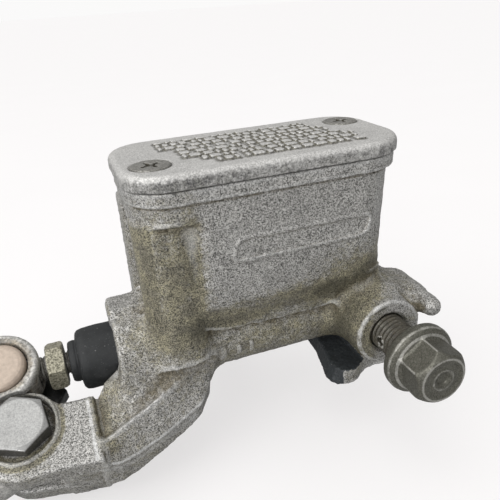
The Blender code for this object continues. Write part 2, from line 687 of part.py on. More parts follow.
# ---------------------------------------------------------------- push rod, barrel and lever
PUSH_ROD = (                              # x, radius; rounded tip in the piston
    (-24.9, 0), (-24.9, 2.2), (-24.4, 2.6), (-11.6, 2.6), (-11.2, 2.95), (-8.0, 2.95),
    (-7.6, 2.6), (10.4, 2.6), (12.2, 2.3), (13.4, 1.6), (13.9, 0.8), (14.0, 0),
)
LOCK_NUT_EDGE = ((-16.0, 4.9), (-15.1, 5.9), (-12.7, 5.9), (-11.8, 4.9))
BARREL_PROFILE = ((-6.0, 5.3), (-5.5, 5.8), (5.5, 5.8), (6.3, 5.0))      # h, radius
BARREL_BOSS = ((-10.6, 7.6), (-9.8, 8.4), (4.9, 8.6), (5.6, 8.0))        # h, radius
# Lever's blade: x, w, half width, centre h, half height
BLADE = (
    (-21.0, -15.2, 6.0, -7.6, 3.8), (-29.0, -17.6, 6.4, -7.6, 3.8),
    (-34.5, -19.8, 5.8, -7.4, 3.8), (-42.0, -22.6, 5.0, -5.4, 5.2),
    (-50.0, -24.3, 4.6, -4.4, 6.0), (-62.0, -25.0, 4.3, -3.8, 6.6),
    (-76.0, -24.2, 4.2, -3.6, 6.8), (-90.0, -22.6, 4.2, -3.6, 6.8),
    (-104.0, -21.2, 4.1, -3.6, 6.6), (-114.0, -21.6, 4.0, -3.6, 6.2),
    (-120.0, -23.4, 3.9, -3.6, 5.6),
)
BALL_R, BALL_CENTRE = 7.0, (-124.5, -25.2, -3.6)
# Web between the knuckle and the barrel's boss: x, w
LEVER_WEB = (
    (-33.6, -16.5), (-22.0, -19.0), (-17.0, -8.8), (-14.9, -6.0), (-13.2, -3.6),
    (-16.5, 1.5), (-22.0, 7.0), (-31.0, 6.0), (-34.2, 0.0),
)
# Window for the push rod, wide enough for the swing: x, w
ROD_WINDOW = ((-22.0, -3.3), (-8.0, -3.3), (-8.0, 9.4), (-22.0, 4.8))


def build_push_rod():
    finish(new_object("push_rod", lathe(PUSH_ROD, 16), origin=BARREL), "steel")


def build_lock_nut():
    nut = new_object("lock_nut", prism(hexagon(10.0, math.radians(12)), -15.9, -11.9, "X"))
    trim(nut, turned(LOCK_NUT_EDGE, 24))
    cut(nut, rod(-20, 0, 3.25, 16))
    finish(nut, "zinc")


def build_barrel():
    barrel = new_object("lever_barrel", turned(BARREL_PROFILE, 24, "Z", BARREL),
                        tilt=True, origin=BARREL)
    cut(barrel, rod(-26.8, 0, 2.9, 16))
    finish(barrel, "barrel")


def blade():
    """Rounded sections set square to the blade's run in the lever's plane."""
    rings = []
    for i, (x, w, half_width, centre_h, half_height) in enumerate(BLADE):
        before, after = BLADE[max(i - 1, 0)], BLADE[min(i + 1, len(BLADE) - 1)]
        run = Vector((after[0] - before[0], after[1] - before[1])).normalized()
        radius = min(half_width, half_height) * 0.72
        section = rounded_rect((-half_width, half_width, -half_height, half_height, radius), 3)
        rings.append([(x - run.y * u, w + run.x * u, centre_h + v) for u, v in section])
    return loft(rings)


def build_lever():
    lever = new_object("brake_lever", blade(), tilt=True, origin=PIVOT_POINT)
    ball = [on_circle(BALL_R, degrees) for degrees in range(180, -1, -18)]
    join(lever,
         rod(KNUCKLE_LOW, KNUCKLE_TOP, 8.3, 24, "Z", PIVOT),
         turned(BARREL_BOSS, 26, "Z", BARREL),
         prism(LEVER_WEB, KNUCKLE_LOW + 0.4, -6.3),
         lathe(ball, 16, "Z", BALL_CENTRE),
         tilt=True)
    cut(lever,
        rod(-30, 30, 6.1, 24, "Z", BARREL),
        rod(-30, 30, 5.3, 20, "Z", PIVOT),
        prism(ROD_WINDOW, -3.4, 3.4),
        # clearance beside the fork's upper ear, then beside the pivot bolt's head
        rod(KNUCKLE_TOP, EAR_TOP + 0.95, 8.5, 36, "Z", PIVOT, 0.04),
        rod(EAR_TOP + 0.5, 9.0, 7.2, 36, "Z", PIVOT, 0.04),
        tilt=True)
    finish(lever, "bright")


def build_bush():
    bush = ring(KNUCKLE_LOW, KNUCKLE_TOP, 4.3, 5.0, 24, "Z", PIVOT)
    finish(new_object("pivot_bush", bush, tilt=True), "brass")


# Profiles about the pivot: h, radius
BOLT_DOME = ((-1.0, 7.2), (3.9, 7.2), (4.6, 5.9), (4.85, 4.4))
PIVOT_SHANK = (
    (0.8, 4.0), (SLOT_LOW - 0.7, 4.0), (SLOT_LOW - 0.7, 2.85), (EAR_LOW - 7.0, 2.85),
    (EAR_LOW - 7.6, 2.3),
)
PIVOT_NUT_EDGE = ((EAR_LOW - 5.7, 4.6), (EAR_LOW - 4.6, 5.9), (EAR_LOW - 0.2, 5.9))


def build_pivot_bolt():
    flange = rod(0.3, 1.6, 6.6, 24, "Z", PIVOT)
    bolt = new_object("pivot_bolt", flange, tilt=True, origin=PIVOT_POINT)
    join(bolt, prism(hexagon(11.8, math.radians(-10), PIVOT), 1.2, 4.9), tilt=True)
    trim(bolt, turned(BOLT_DOME, 24, "Z", PIVOT), tilt=True)
    join(bolt, turned(PIVOT_SHANK, 24, "Z", PIVOT), tilt=True)
    finish(bolt, "bright")


def build_pivot_nut():
    blank = prism(hexagon(10.0, 0.2, PIVOT), EAR_LOW - 5.6, EAR_LOW - 0.3)
    nut = new_object("pivot_nut", blank, tilt=True)
    trim(nut, turned(PIVOT_NUT_EDGE, 24, "Z", PIVOT), tilt=True)
    cut(nut, rod(-40, 0, 3.15, 20, "Z", PIVOT), tilt=True)
    finish(nut, "zinc")


# ---------------------------------------------------------------- hose bolt
# Profiles: distance behind BANJO_FLANGE_Y, radius
BANJO_FLANGE = ((2.4, 8.1), (1.8, 8.35), (0.4, 8.35), (-0.2, 7.6), (-1.4, 6.6))
BANJO_ENVELOPE = ((4, 9.5), (-0.2, 9.5), (-6.2, 7.2), (-7.7, 5.5))
BANJO_DIMPLE = ((-9, 2.4), (-7.7, 2.3), (-7.0, 1.6))
BANJO_SHANK = ((BANJO_FLANGE_Y + 1.0, 4.6), (-14.6, 4.6), (-13.4, 3.9))  # y, radius


def banjo_turned(profile, segments):
    shifted = [(BANJO_FLANGE_Y + along, radius) for along, radius in profile]
    return turned(shifted, segments, "Y", HOSE_AXIS)


def build_banjo_bolt():
    bolt = new_object("banjo_bolt", banjo_turned(BANJO_FLANGE, 24),
                      origin=(HOSE_X, BOSS_FACE_Y, HOSE_Z))
    head = hexagon(12.0, math.radians(8), (HOSE_X, HOSE_Z))
    join(bolt, prism(head, BANJO_FLANGE_Y - 7.7, BANJO_FLANGE_Y + 0.2, "Y"))
    trim(bolt, banjo_turned(BANJO_ENVELOPE, 24))
    cut(bolt, banjo_turned(BANJO_DIMPLE, 12))
    join(bolt, turned(BANJO_SHANK, 18, "Y", HOSE_AXIS))
    # fluid passage along the shank and the cross hole into it
    cut(bolt, rod(-26.0, -12.0, 1.6, 10, "Y", HOSE_AXIS, 0.1),
        rod(-6, 6, 1.2, 8, "X", (HOSE_X, -25.0, HOSE_Z), 0.2))
    finish(bolt, "steel")


# ---------------------------------------------------------------- handlebar clamp
CLAMP_ARCH_R = 15.3
CLAMP_CHAMFER = 0.8
WASHER_Y = CLAMP_CAP_Y + CLAMP_PAD + 0.3
BOLT_HEAD_Y = WASHER_Y + 1.7
# Profiles: y, radius
BOLT_HEAD_EDGE = (
    (BOLT_HEAD_Y - 0.1, 6.2), (BOLT_HEAD_Y + 3.9, 6.2), (BOLT_HEAD_Y + 5.0, 4.7),
)
CLAMP_SHANK = (
    (BOLT_HEAD_Y + 0.8, 2.9), (CLAMP_CAP_Y + 0.5, 2.9), (CLAMP_CAP_Y + 0.2, 2.3),
    (21.4, 2.3), (20.6, 1.7),
)


def build_clamp_cap():
    back = CLAMP_CAP_Y + CLAMP_PAD
    # lower half from the facing side outwards: y, height below the bar's axis
    half = [(CLAMP_CAP_Y, CLAMP_HALF_H), (back - CLAMP_CHAMFER, CLAMP_HALF_H),
            (back, CLAMP_HALF_H - CLAMP_CHAMFER), (back, 13.1)]
    outline = [(y, BAR_Z - drop) for y, drop in half]
    outline += [on_circle(CLAMP_ARCH_R, -54 + 108 * i / 8, (BAR_Y, BAR_Z)) for i in range(9)]
    outline += [(y, BAR_Z + drop) for y, drop in reversed(half)]
    clamp = new_object("clamp_cap", prism(outline, CLAMP_X0 + 0.6, CLAMP_X1 - 0.6, "X"))
    cut(clamp, bar_hole())
    for side in (-1, 1):
        bolt_axis = (CLAMP_X, 0, BAR_Z + side * CLAMP_BOLT_DZ)
        cut(clamp, rod(0, 60, 3.3, 16, "Y", bolt_axis))
    finish(clamp, "cast")


def build_clamp_bolt(side, name):
    z = BAR_Z + side * CLAMP_BOLT_DZ
    axis = (CLAMP_X, 0, z)
    washer = ring(WASHER_Y, WASHER_Y + 1.4, 3.35, 5.2, 24, "Y", axis)
    finish(new_object("clamp_washer_" + name, washer), "zinc")
    head = prism(hexagon(10.0, 0.3, (CLAMP_X, z)), BOLT_HEAD_Y, BOLT_HEAD_Y + 5.0, "Y")
    bolt = new_object("clamp_bolt_" + name, head, origin=(CLAMP_X, BOLT_HEAD_Y, z))
    trim(bolt, turned(BOLT_HEAD_EDGE, 24, "Y", axis))
    join(bolt, turned(CLAMP_SHANK, 16, "Y", axis))
    finish(bolt, "zinc")


# ---------------------------------------------------------------- joints
# Empty on a joint's axis: its point and what hangs on it
JOINTS = {
    "lever_pivot_axis": (PIVOT_POINT, ("barrel_axis", "brake_lever", "pivot_bush")),
    "barrel_axis": (BARREL, ("lever_barrel", "push_rod", "lock_nut")),
    "piston_axis": ((PISTON_X, 0, 0), ("piston", "primary_cup", "secondary_cup")),
}


def assemble():
    """Empties on the joints' axes carry the moving pieces."""
    for name, (point, _) in JOINTS.items():
        empty = bpy.data.objects.new(name, None)
        empty.empty_display_size = 0.01
        empty.location = placed(point)
        bpy.context.scene.collection.objects.link(empty)
    bpy.context.view_layer.update()
    for name, (_, children) in JOINTS.items():
        parent = bpy.data.objects[name]
        for child_name in children:
            child = bpy.data.objects[child_name]
            child.parent = parent
            child.matrix_parent_inverse = parent.matrix_world.inverted()
            bpy.context.view_layer.update()


clear_scene()
build_body()
build_cap()
build_cap_screws()
build_diaphragm()
build_diaphragm_plate()
build_port_shield()
build_piston()
build_cups()
build_spring()
build_stop_washer()
build_circlip()
build_boot()
build_push_rod()
build_lock_nut()
build_barrel()
build_lever()
build_bush()
build_pivot_bolt()
build_pivot_nut()
build_banjo_bolt()
build_clamp_cap()
build_clamp_bolt(-1, "lower")
build_clamp_bolt(1, "upper")
assemble()
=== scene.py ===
"""Motorcycle brake master cylinder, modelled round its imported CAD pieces.

The bore runs along X with its boot end at x = 0. The lever reaches left (-X), the hose bolt points
to the front (-Y), the handlebar clamp is at the back (+Y) and the reservoir cap is on top (+Z).
The lever, fork and pivot lie in a frame tilted about X: "back" and "rise" are its y and z.

Each visible piece is a signed distance field in millimetres, negative inside, that is meshed
with surface nets, so castings get real fillets, grain and worn edges.
"""
import json
import math
from concurrent.futures import ThreadPoolExecutor
from functools import reduce

import bmesh
import bpy
import numpy as np
from mathutils import Matrix, Vector


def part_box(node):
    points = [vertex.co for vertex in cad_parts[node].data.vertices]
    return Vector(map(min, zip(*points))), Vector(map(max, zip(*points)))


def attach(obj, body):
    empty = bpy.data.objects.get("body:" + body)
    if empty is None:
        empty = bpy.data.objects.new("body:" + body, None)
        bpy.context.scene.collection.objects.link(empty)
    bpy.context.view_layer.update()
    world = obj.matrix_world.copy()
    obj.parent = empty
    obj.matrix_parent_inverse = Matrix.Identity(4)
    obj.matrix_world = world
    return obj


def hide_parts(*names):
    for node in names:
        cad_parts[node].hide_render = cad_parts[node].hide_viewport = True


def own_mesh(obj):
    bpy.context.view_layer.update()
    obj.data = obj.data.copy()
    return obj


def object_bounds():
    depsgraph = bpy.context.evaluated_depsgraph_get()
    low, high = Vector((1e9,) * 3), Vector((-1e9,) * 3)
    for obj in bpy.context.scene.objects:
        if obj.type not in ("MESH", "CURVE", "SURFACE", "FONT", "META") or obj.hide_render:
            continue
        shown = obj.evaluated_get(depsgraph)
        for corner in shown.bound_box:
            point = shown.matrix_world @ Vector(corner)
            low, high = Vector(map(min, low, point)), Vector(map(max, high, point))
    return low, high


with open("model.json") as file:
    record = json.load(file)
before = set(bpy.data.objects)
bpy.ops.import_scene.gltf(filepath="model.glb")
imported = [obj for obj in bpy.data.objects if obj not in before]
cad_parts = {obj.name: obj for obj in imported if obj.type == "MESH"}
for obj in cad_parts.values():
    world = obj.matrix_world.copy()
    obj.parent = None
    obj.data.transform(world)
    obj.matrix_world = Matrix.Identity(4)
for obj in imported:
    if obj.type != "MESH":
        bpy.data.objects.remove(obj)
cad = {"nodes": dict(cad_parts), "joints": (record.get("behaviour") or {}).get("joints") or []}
cad_lo, cad_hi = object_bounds()
F32 = np.float32

# ---------------------------------------------------------------- places from the CAD frame (mm)

# from the point where the bore axis meets the boot-end face, the frame's origin lies at DATUM
DATUM = np.array([31.5, 32.2, 21.5])
JOINTS = {joint["name"]: joint for joint in cad["joints"]}


def mm_box(node):
    lo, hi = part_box(node)
    return np.array(lo) * 1000 + DATUM, np.array(hi) * 1000 + DATUM


def around(node, margin):
    lo, hi = mm_box(node)
    return lo - margin, hi + margin


def centre(node):
    lo, hi = mm_box(node)
    return (lo + hi) / 2


def joint_mm(name):
    return [pos * 1000 + datum for pos, datum in zip(JOINTS[name]["pos_m"], DATUM)]


def bore_point_m(x):
    """The point at x mm on the bore axis, in the frame's metres."""
    return tuple((np.array([x, 0, 0]) - DATUM) / 1000)


PIVOT_AXIS = JOINTS["lever_pivot"]["axis"]
TILT = math.atan2(PIVOT_AXIS[1], -PIVOT_AXIS[2])
COS_TILT, SIN_TILT = math.cos(TILT), math.sin(TILT)


def tilted(y, z):
    """(back, rise): y and z in the lever's tilted frame."""
    return y * COS_TILT + z * SIN_TILT, -y * SIN_TILT + z * COS_TILT


_pivot = joint_mm("lever_pivot")
PIVOT_X, PIVOT_BACK = PIVOT = _pivot[0], tilted(_pivot[1], _pivot[2])[0]
BARREL_X = joint_mm("barrel_swivel")[0]
BARREL = (BARREL_X, 0.0)
CAP_LO, CAP_HI = mm_box("reservoir_cap")
CAP_LEFT, CAP_FRONT, CAP_BASE = CAP_LO
CAP_RIGHT, CAP_BACK, CAP_TOP = CAP_HI
SCREWS = [tuple(centre(node)[:2]) for node in ("cap_screw_front_left", "cap_screw_back_right")]
HOSE_X, _, HOSE_Z = centre("banjo_bolt")
HOSE = (HOSE_X, HOSE_Z)
HOSE_FRONT, HOSE_BACK = (corner[1] for corner in mm_box("banjo_bolt"))
CLAMP_LO, CLAMP_HI = mm_box("clamp_cap")
CLAMP_LEFT, CLAMP_SPLIT_Y, CLAMP_RIGHT = CLAMP_LO[0], CLAMP_LO[1], CLAMP_HI[0]
BAR_Y, BAR_Z, BAR_BORE = 33.0, (CLAMP_LO[2] + CLAMP_HI[2]) / 2, 11.15
CLAMP_BOLT_X = centre("clamp_bolt_upper")[0]
CLAMP_BOLT_RISE = centre("clamp_bolt_upper")[2] - BAR_Z
# rises of the fork's two ears and of the slot between them
EAR_TOP, SLOT_TOP, SLOT_LOW, EAR_LOW = 2.6, -3.3, -11.7, -17.4
CORNER_EXTRA = 2.8  # the reservoir's front right corner is this much rounder than the others

# ---------------------------------------------------------------- distance-field helpers


def soft_min(one, other, soft):
    """Union with a fillet of about soft."""
    if soft <= 0:
        return np.minimum(one, other)
    overlap = np.maximum(soft - np.abs(one - other), 0) / soft
    return np.minimum(one, other) - overlap * overlap * (soft * 0.25)


def soft_max(one, other, soft):
    """Intersection with an edge softened by about soft."""
    if soft <= 0:
        return np.maximum(one, other)
    overlap = np.maximum(soft - np.abs(one - other), 0) / soft
    return np.maximum(one, other) + overlap * overlap * (soft * 0.25)


def dist(*offsets):
    return np.sqrt(sum(offset * offset for offset in offsets))


def clip01(value):
    return np.clip(value, 0, 1)


def bell(offset, width):
    return np.exp(-(offset / width) ** 2)


def poly(x, y, points):
    """Exact distance to a closed polygon. Points may hold arrays, one polygon per sample."""
    nearest = np.full(x.shape, 1e9, F32)
    outside = np.ones(x.shape, bool)
    for i, (xi, yi) in enumerate(points):
        xj, yj = points[i - 1]
        edge_x, edge_y = xj - xi, yj - yi
        to_x, to_y = x - xi, y - yi
        length2 = np.maximum(edge_x * edge_x + edge_y * edge_y, 1e-12)
        share = clip01((to_x * edge_x + to_y * edge_y) / length2)
        off_x, off_y = to_x - edge_x * share, to_y - edge_y * share
        nearest = np.minimum(nearest, off_x * off_x + off_y * off_y)
        above, below, left = y >= yi, y < yj, edge_x * to_y > edge_y * to_x
        outside = outside ^ ((above & below & left) | (~above & ~below & ~left))
    return np.where(outside, 1, -1).astype(F32) * np.sqrt(nearest).astype(F32)


def round_corner(one, other, radius):
    """Join two distances, each already raised by radius, at a corner rounded by it."""
    outer = np.sqrt(np.maximum(one, 0) ** 2 + np.maximum(other, 0) ** 2)
    return (np.minimum(np.maximum(one, other), 0) + outer - radius).astype(F32)


def extrude(flat, along, lo, hi, edge=0.0):
    """Prism of a 2-D field between lo and hi, its edges rounded by edge."""
    ends = np.abs(along - (lo + hi) / 2) - (hi - lo) / 2
    return round_corner(flat + edge, ends + edge, edge)


def rounded_rect(x, y, left, right, front, back, corner, extra=None):
    """Rounded rectangle; extra is added to the radius of the (right, front) corner."""
    if extra is not None:
        wider = (x > (left + right) / 2) & (y < (front + back) / 2)
        corner = np.where(wider, corner + extra, corner).astype(F32)
    return round_corner(np.abs(x - (left + right) / 2) - (right - left) / 2 + corner,
                        np.abs(y - (front + back) / 2) - (back - front) / 2 + corner, corner)


def ringed(along, radius, profile):
    """Body of revolution with a closed profile of (along, radius)."""
    return poly(along, radius, [(float(at), float(rad)) for at, rad in profile])


def turned(along, radius, profile):
    """Solid body of revolution: the (along, radius) profile is closed through the axis."""
    return ringed(along, radius, [(profile[0][0], -1.0), *profile, (profile[-1][0], -1.0)])


def hexagon(x, y, across_flats, turn=0.0):
    sides = []
    for i in range(3):
        angle = turn + math.pi * i / 3
        sides.append(np.abs(x * math.cos(angle) + y * math.sin(angle)) - across_flats / 2)
    return reduce(np.maximum, sides).astype(F32)


def thread(along, x, y, radius, pitch, depth):
    """Distance to a threaded shank of outside radius along its axis."""
    phase = (along / pitch - np.arctan2(y, x) / (2 * math.pi)) % 1.0
    wave = np.abs(phase - 0.5) * 2
    return ((dist(x, y) - (radius - depth * clip01(wave * 1.25 - 0.1))) * 0.75).astype(F32)


def in_plane(plane, x, y, z):
    """The two coordinates in a plane, then the one along its normal."""
    if plane == "tilted":
        return (x, *tilted(y, z))
    return {"xy": (x, y, z), "xz": (x, z, y), "yz": (y, z, x)}[plane]


def prism(plane, outline, lo, hi, edge=0.0):
    """Field function of a polygon drawn in a plane and extruded from lo to hi."""
    def field(x, y, z):
        first, second, along = in_plane(plane, x, y, z)
        return extrude(poly(first, second, outline), along, lo, hi, edge)
    return field


def block(plane, rect, lo, hi, edge=0.0):
    """The same for a rounded rectangle, given as rounded_rect's arguments."""
    def field(x, y, z):
        first, second, along = in_plane(plane, x, y, z)
        return extrude(rounded_rect(first, second, *rect), along, lo, hi, edge)
    return field


def spun(plane, middle, profile):
    """Field function of a turned body standing on a plane at middle."""
    def field(x, y, z):
        first, second, along = in_plane(plane, x, y, z)
        return turned(along, dist(first - middle[0], second - middle[1]), profile)
    return field


def about_pivot(x, y, z):
    """Offsets from the pivot axis, then the rise."""
    back, rise = tilted(y, z)
    return x - PIVOT_X, back - PIVOT_BACK, rise


def stations(at, table):
    """All value columns of a station table, interpolated at its first column."""
    return [np.interp(at, table[:, 0], column).astype(F32) for column in table.T[1:]]


LATTICE = np.random.default_rng(71).random((32, 32, 32)).astype(F32)


def value_noise(x, y, z, scale, offset=0.0):
    """Smooth value noise in 0..1, scale cells per mm."""
    places = (x * scale + offset, y * scale + offset * 1.7, z * scale + offset * 2.3)
    xi, yi, zi = (np.floor(place).astype(np.int32) for place in places)
    fx, fy, fz = (place - cell for place, cell in zip(places, (xi, yi, zi)))
    fx, fy, fz = (share * share * (3 - 2 * share) for share in (fx, fy, fz))

    def along_x(j, k):
        near = LATTICE[xi & 31, (yi + j) & 31, (zi + k) & 31]
        far = LATTICE[(xi + 1) & 31, (yi + j) & 31, (zi + k) & 31]
        return near * (1 - fx) + far * fx

    low = along_x(0, 0) * (1 - fy) + along_x(1, 0) * fy
    high = along_x(0, 1) * (1 - fy) + along_x(1, 1) * fy
    return (low * (1 - fz) + high * fz).astype(F32)


def lumps(x, y, z, scale, offset, height):
    return (value_noise(x, y, z, scale, offset) - 0.5) * F32(height)


def roughen(solid, x, y, z, within, layers):
    """Add layers of (scale, offset, height) noise to samples close to the skin, in place."""
    i = np.flatnonzero(np.abs(solid) < within)
    solid[i] += sum(lumps(x[i], y[i], z[i], *layer) for layer in layers)


class Field:
    """Collects shapes; each is worked out only near its box of (three lows, three highs)."""

    def __init__(self, x, y, z):
        self.xyz = (x, y, z)
        self.solid = np.full(x.shape, 40.0, F32)

    def _apply(self, box, shape, mix, margin):
        near = np.ones(self.solid.shape, bool)
        for values, lo, hi in zip(self.xyz, box[:3], box[3:]):
            near &= (values > lo - margin) & (values < hi + margin)
        i = np.flatnonzero(near)
        if len(i):
            self.solid[i] = mix(self.solid[i], shape(*(values[i] for values in self.xyz)))

    def add(self, box, shape, soft=0.0):
        self._apply(box, shape, lambda old, new: soft_min(old, new, soft), margin=4.5)

    def cut(self, box, shape, soft=0.0):
        self._apply(box, shape, lambda old, new: soft_max(old, -new, soft), margin=3.0)


# ---------------------------------------------------------------- meshing

CORNERS = [(i, j, k) for i in (0, 1) for j in (0, 1) for k in (0, 1)]


def parallel(shape, x, y, z, chunk=220000):
    count = len(x)
    out = np.empty(count, F32)

    def run(start):
        part = slice(start, min(start + chunk, count))
        out[part] = shape(x[part], y[part], z[part])

    with ThreadPoolExecutor(4) as pool:
        list(pool.map(run, range(0, count, chunk)))
    return out


def sample(shape, points):
    return parallel(shape, *points.astype(F32).T)


def corner_views(grid):
    """Eight views of a grid, one for each corner of its cells."""
    nx, ny, nz = (size - 1 for size in grid.shape)
    return [grid[i:nx + i, j:ny + j, k:nz + k] for i, j, k in CORNERS]


def sample_grid(shape, lo, hi, step, coarse):
    """Field on a grid, exact only in the coarse blocks that the surface may cross."""
    blocks = np.ceil((hi - lo) / (step * coarse)).astype(int)
    size = blocks * coarse + 1
    axes = [(lo[i] + step * np.arange(size[i])).astype(F32) for i in range(3)]
    mesh = np.meshgrid(*(axis[::coarse] for axis in axes), indexing="ij")
    rough = parallel(shape, *(part.ravel() for part in mesh)).reshape(mesh[0].shape)

    def refine(values):
        return values.repeat(coarse, 0).repeat(coarse, 1).repeat(coarse, 2)

    close = refine(reduce(np.minimum, corner_views(np.abs(rough))) < step * coarse * 1.15)
    wanted = np.zeros(tuple(size), bool)
    for view in corner_views(wanted):
        view |= close
    grid = np.full(tuple(size), 9.0, F32)
    grid[:-1, :-1, :-1] = np.where(refine(rough[:-1, :-1, :-1]) < 0, -9.0, 9.0)
    del close
    near = np.nonzero(wanted)
    grid[near] = parallel(shape, *(axis[i] for axis, i in zip(axes, near)))
    grid[0], grid[-1], grid[:, 0], grid[:, -1], grid[:, :, 0], grid[:, :, -1] = 9, 9, 9, 9, 9, 9
    return grid


def surface_nets(shape, lo, hi, step, coarse=4):
    """Points and quads of the zero level of shape, on a grid inside the box lo..hi."""
    lo, hi = np.array(lo, float), np.array(hi, float)
    grid = sample_grid(shape, lo, hi, step, coarse)
    inside = grid < 0
    count = np.zeros([size - 1 for size in grid.shape], np.uint8)
    for view in corner_views(inside):
        count += view
    cells = np.nonzero((count > 0) & (count < 8))
    values = [view[cells] for view in corner_views(grid)]

    # one vertex per crossed cell, at the mean of its edge crossings
    points = np.zeros((len(cells[0]), 3))
    crossings = np.zeros(len(points))
    corners = np.array(CORNERS, float)
    for i in range(8):
        for j in range(i + 1, 8):
            if np.abs(corners[i] - corners[j]).sum() != 1:
                continue
            cross = (values[i] < 0) != (values[j] < 0)
            drop = np.where(cross, values[i] - values[j], 1)
            share = np.where(cross, values[i] / drop, 0)[:, None]
            spot = corners[i] + (corners[j] - corners[i]) * share
            points += np.where(cross[:, None], spot, 0)
            crossings += cross
    points = (points / crossings[:, None] + np.stack(cells, 1)) * step + lo

    # one quad round each crossed grid edge
    ids = np.full(count.shape, -1, np.int32)
    ids[cells] = np.arange(len(points), dtype=np.int32)
    units = np.eye(3, dtype=int)[:, :, None]
    quads = []
    for axis in range(3):
        lower, upper = [slice(1, -1)] * 3, [slice(1, -1)] * 3
        lower[axis], upper[axis] = slice(None, -1), slice(1, None)
        below = inside[tuple(lower)]
        edges = np.nonzero(below != inside[tuple(upper)])
        first, second = units[(axis + 1) % 3], units[(axis + 2) % 3]
        quad = np.stack([ids[tuple(np.stack(edges) + offset)]
                         for offset in (0 * first, first, first + second, second)], 1)
        flip = ~below[edges]
        quad[flip] = quad[flip][:, ::-1]
        quads.append(quad)
    return points, np.concatenate(quads)


def vertex_normals(points, quads):
    face = np.cross(points[quads[:, 2]] - points[quads[:, 0]],
                    points[quads[:, 3]] - points[quads[:, 1]])
    total = np.zeros_like(points)
    for corner in range(4):
        for axis in range(3):
            total[:, axis] += np.bincount(quads[:, corner], face[:, axis], len(points))
    return total / np.maximum(np.linalg.norm(total, axis=1), 1e-12)[:, None]


def to_mesh(name, points, quads, attributes=None, origin=DATUM):
    mesh = bpy.data.meshes.new(name)
    loops = quads.size
    mesh.vertices.add(len(points))
    mesh.vertices.foreach_set("co", ((points - origin) * 0.001).astype(F32).ravel())
    mesh.loops.add(loops)
    mesh.loops.foreach_set("vertex_index", quads.astype(np.int32).ravel())
    mesh.polygons.add(len(quads))
    mesh.polygons.foreach_set("loop_start", np.arange(0, loops, 4, dtype=np.int32))
    mesh.update(calc_edges=True)
    mesh.validate()
    mesh.shade_smooth()
    for key, values in (attributes or {}).items():
        mesh.attributes.new(key, "FLOAT", "POINT").data.foreach_set("value", values.astype(F32))
    return mesh


def add_object(name, data):
    obj = bpy.data.objects.new(name, data)
    bpy.context.scene.collection.objects.link(obj)
    return obj


def enter_frame(obj, body, node, slot):
    """Give a piece its material and its place in the frame."""
    obj.data.materials.append(MATERIALS[slot])
    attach(obj, body)
    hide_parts(node)


def piece(name, body, node, slot, shape, box, step, reach=1.4, polish=0,
          grime_and_shade=None, paint=None, highlight_and_wear=None):
    """Mesh a field, measure its corners and hollows over reach, and put it in the frame."""
    points, quads = surface_nets(shape, *box, step)
    # pull the vertices onto the true surface
    for _ in range(polish):
        gap = np.clip(sample(shape, points), -step * 0.5, step * 0.5)
        points = points - vertex_normals(points, quads) * gap[:, None] * 0.8
    normals = vertex_normals(points, quads)
    outer = sample(shape, points + normals * reach)
    inner = sample(shape, points - normals * reach * 0.6)
    attributes = {"cavity": clip01(1 - outer / reach), "edge": clip01(1 + inner / (reach * 0.6)),
                  "grime_and_shade": np.zeros(len(points))}
    # masks: grime with painted shade, paint, and painted highlights with some wear
    for key, mask, most in (("grime_and_shade", grime_and_shade, 3), ("paint", paint, 1), ("highlight_and_wear", highlight_and_wear, 1)):
        if mask:
            attributes[key] = np.clip(mask(*points.T, normals), 0, most)
    obj = add_object(name, to_mesh(name, points, quads, attributes))
    enter_frame(obj, body, node, slot)
    return obj


# ---------------------------------------------------------------- materials


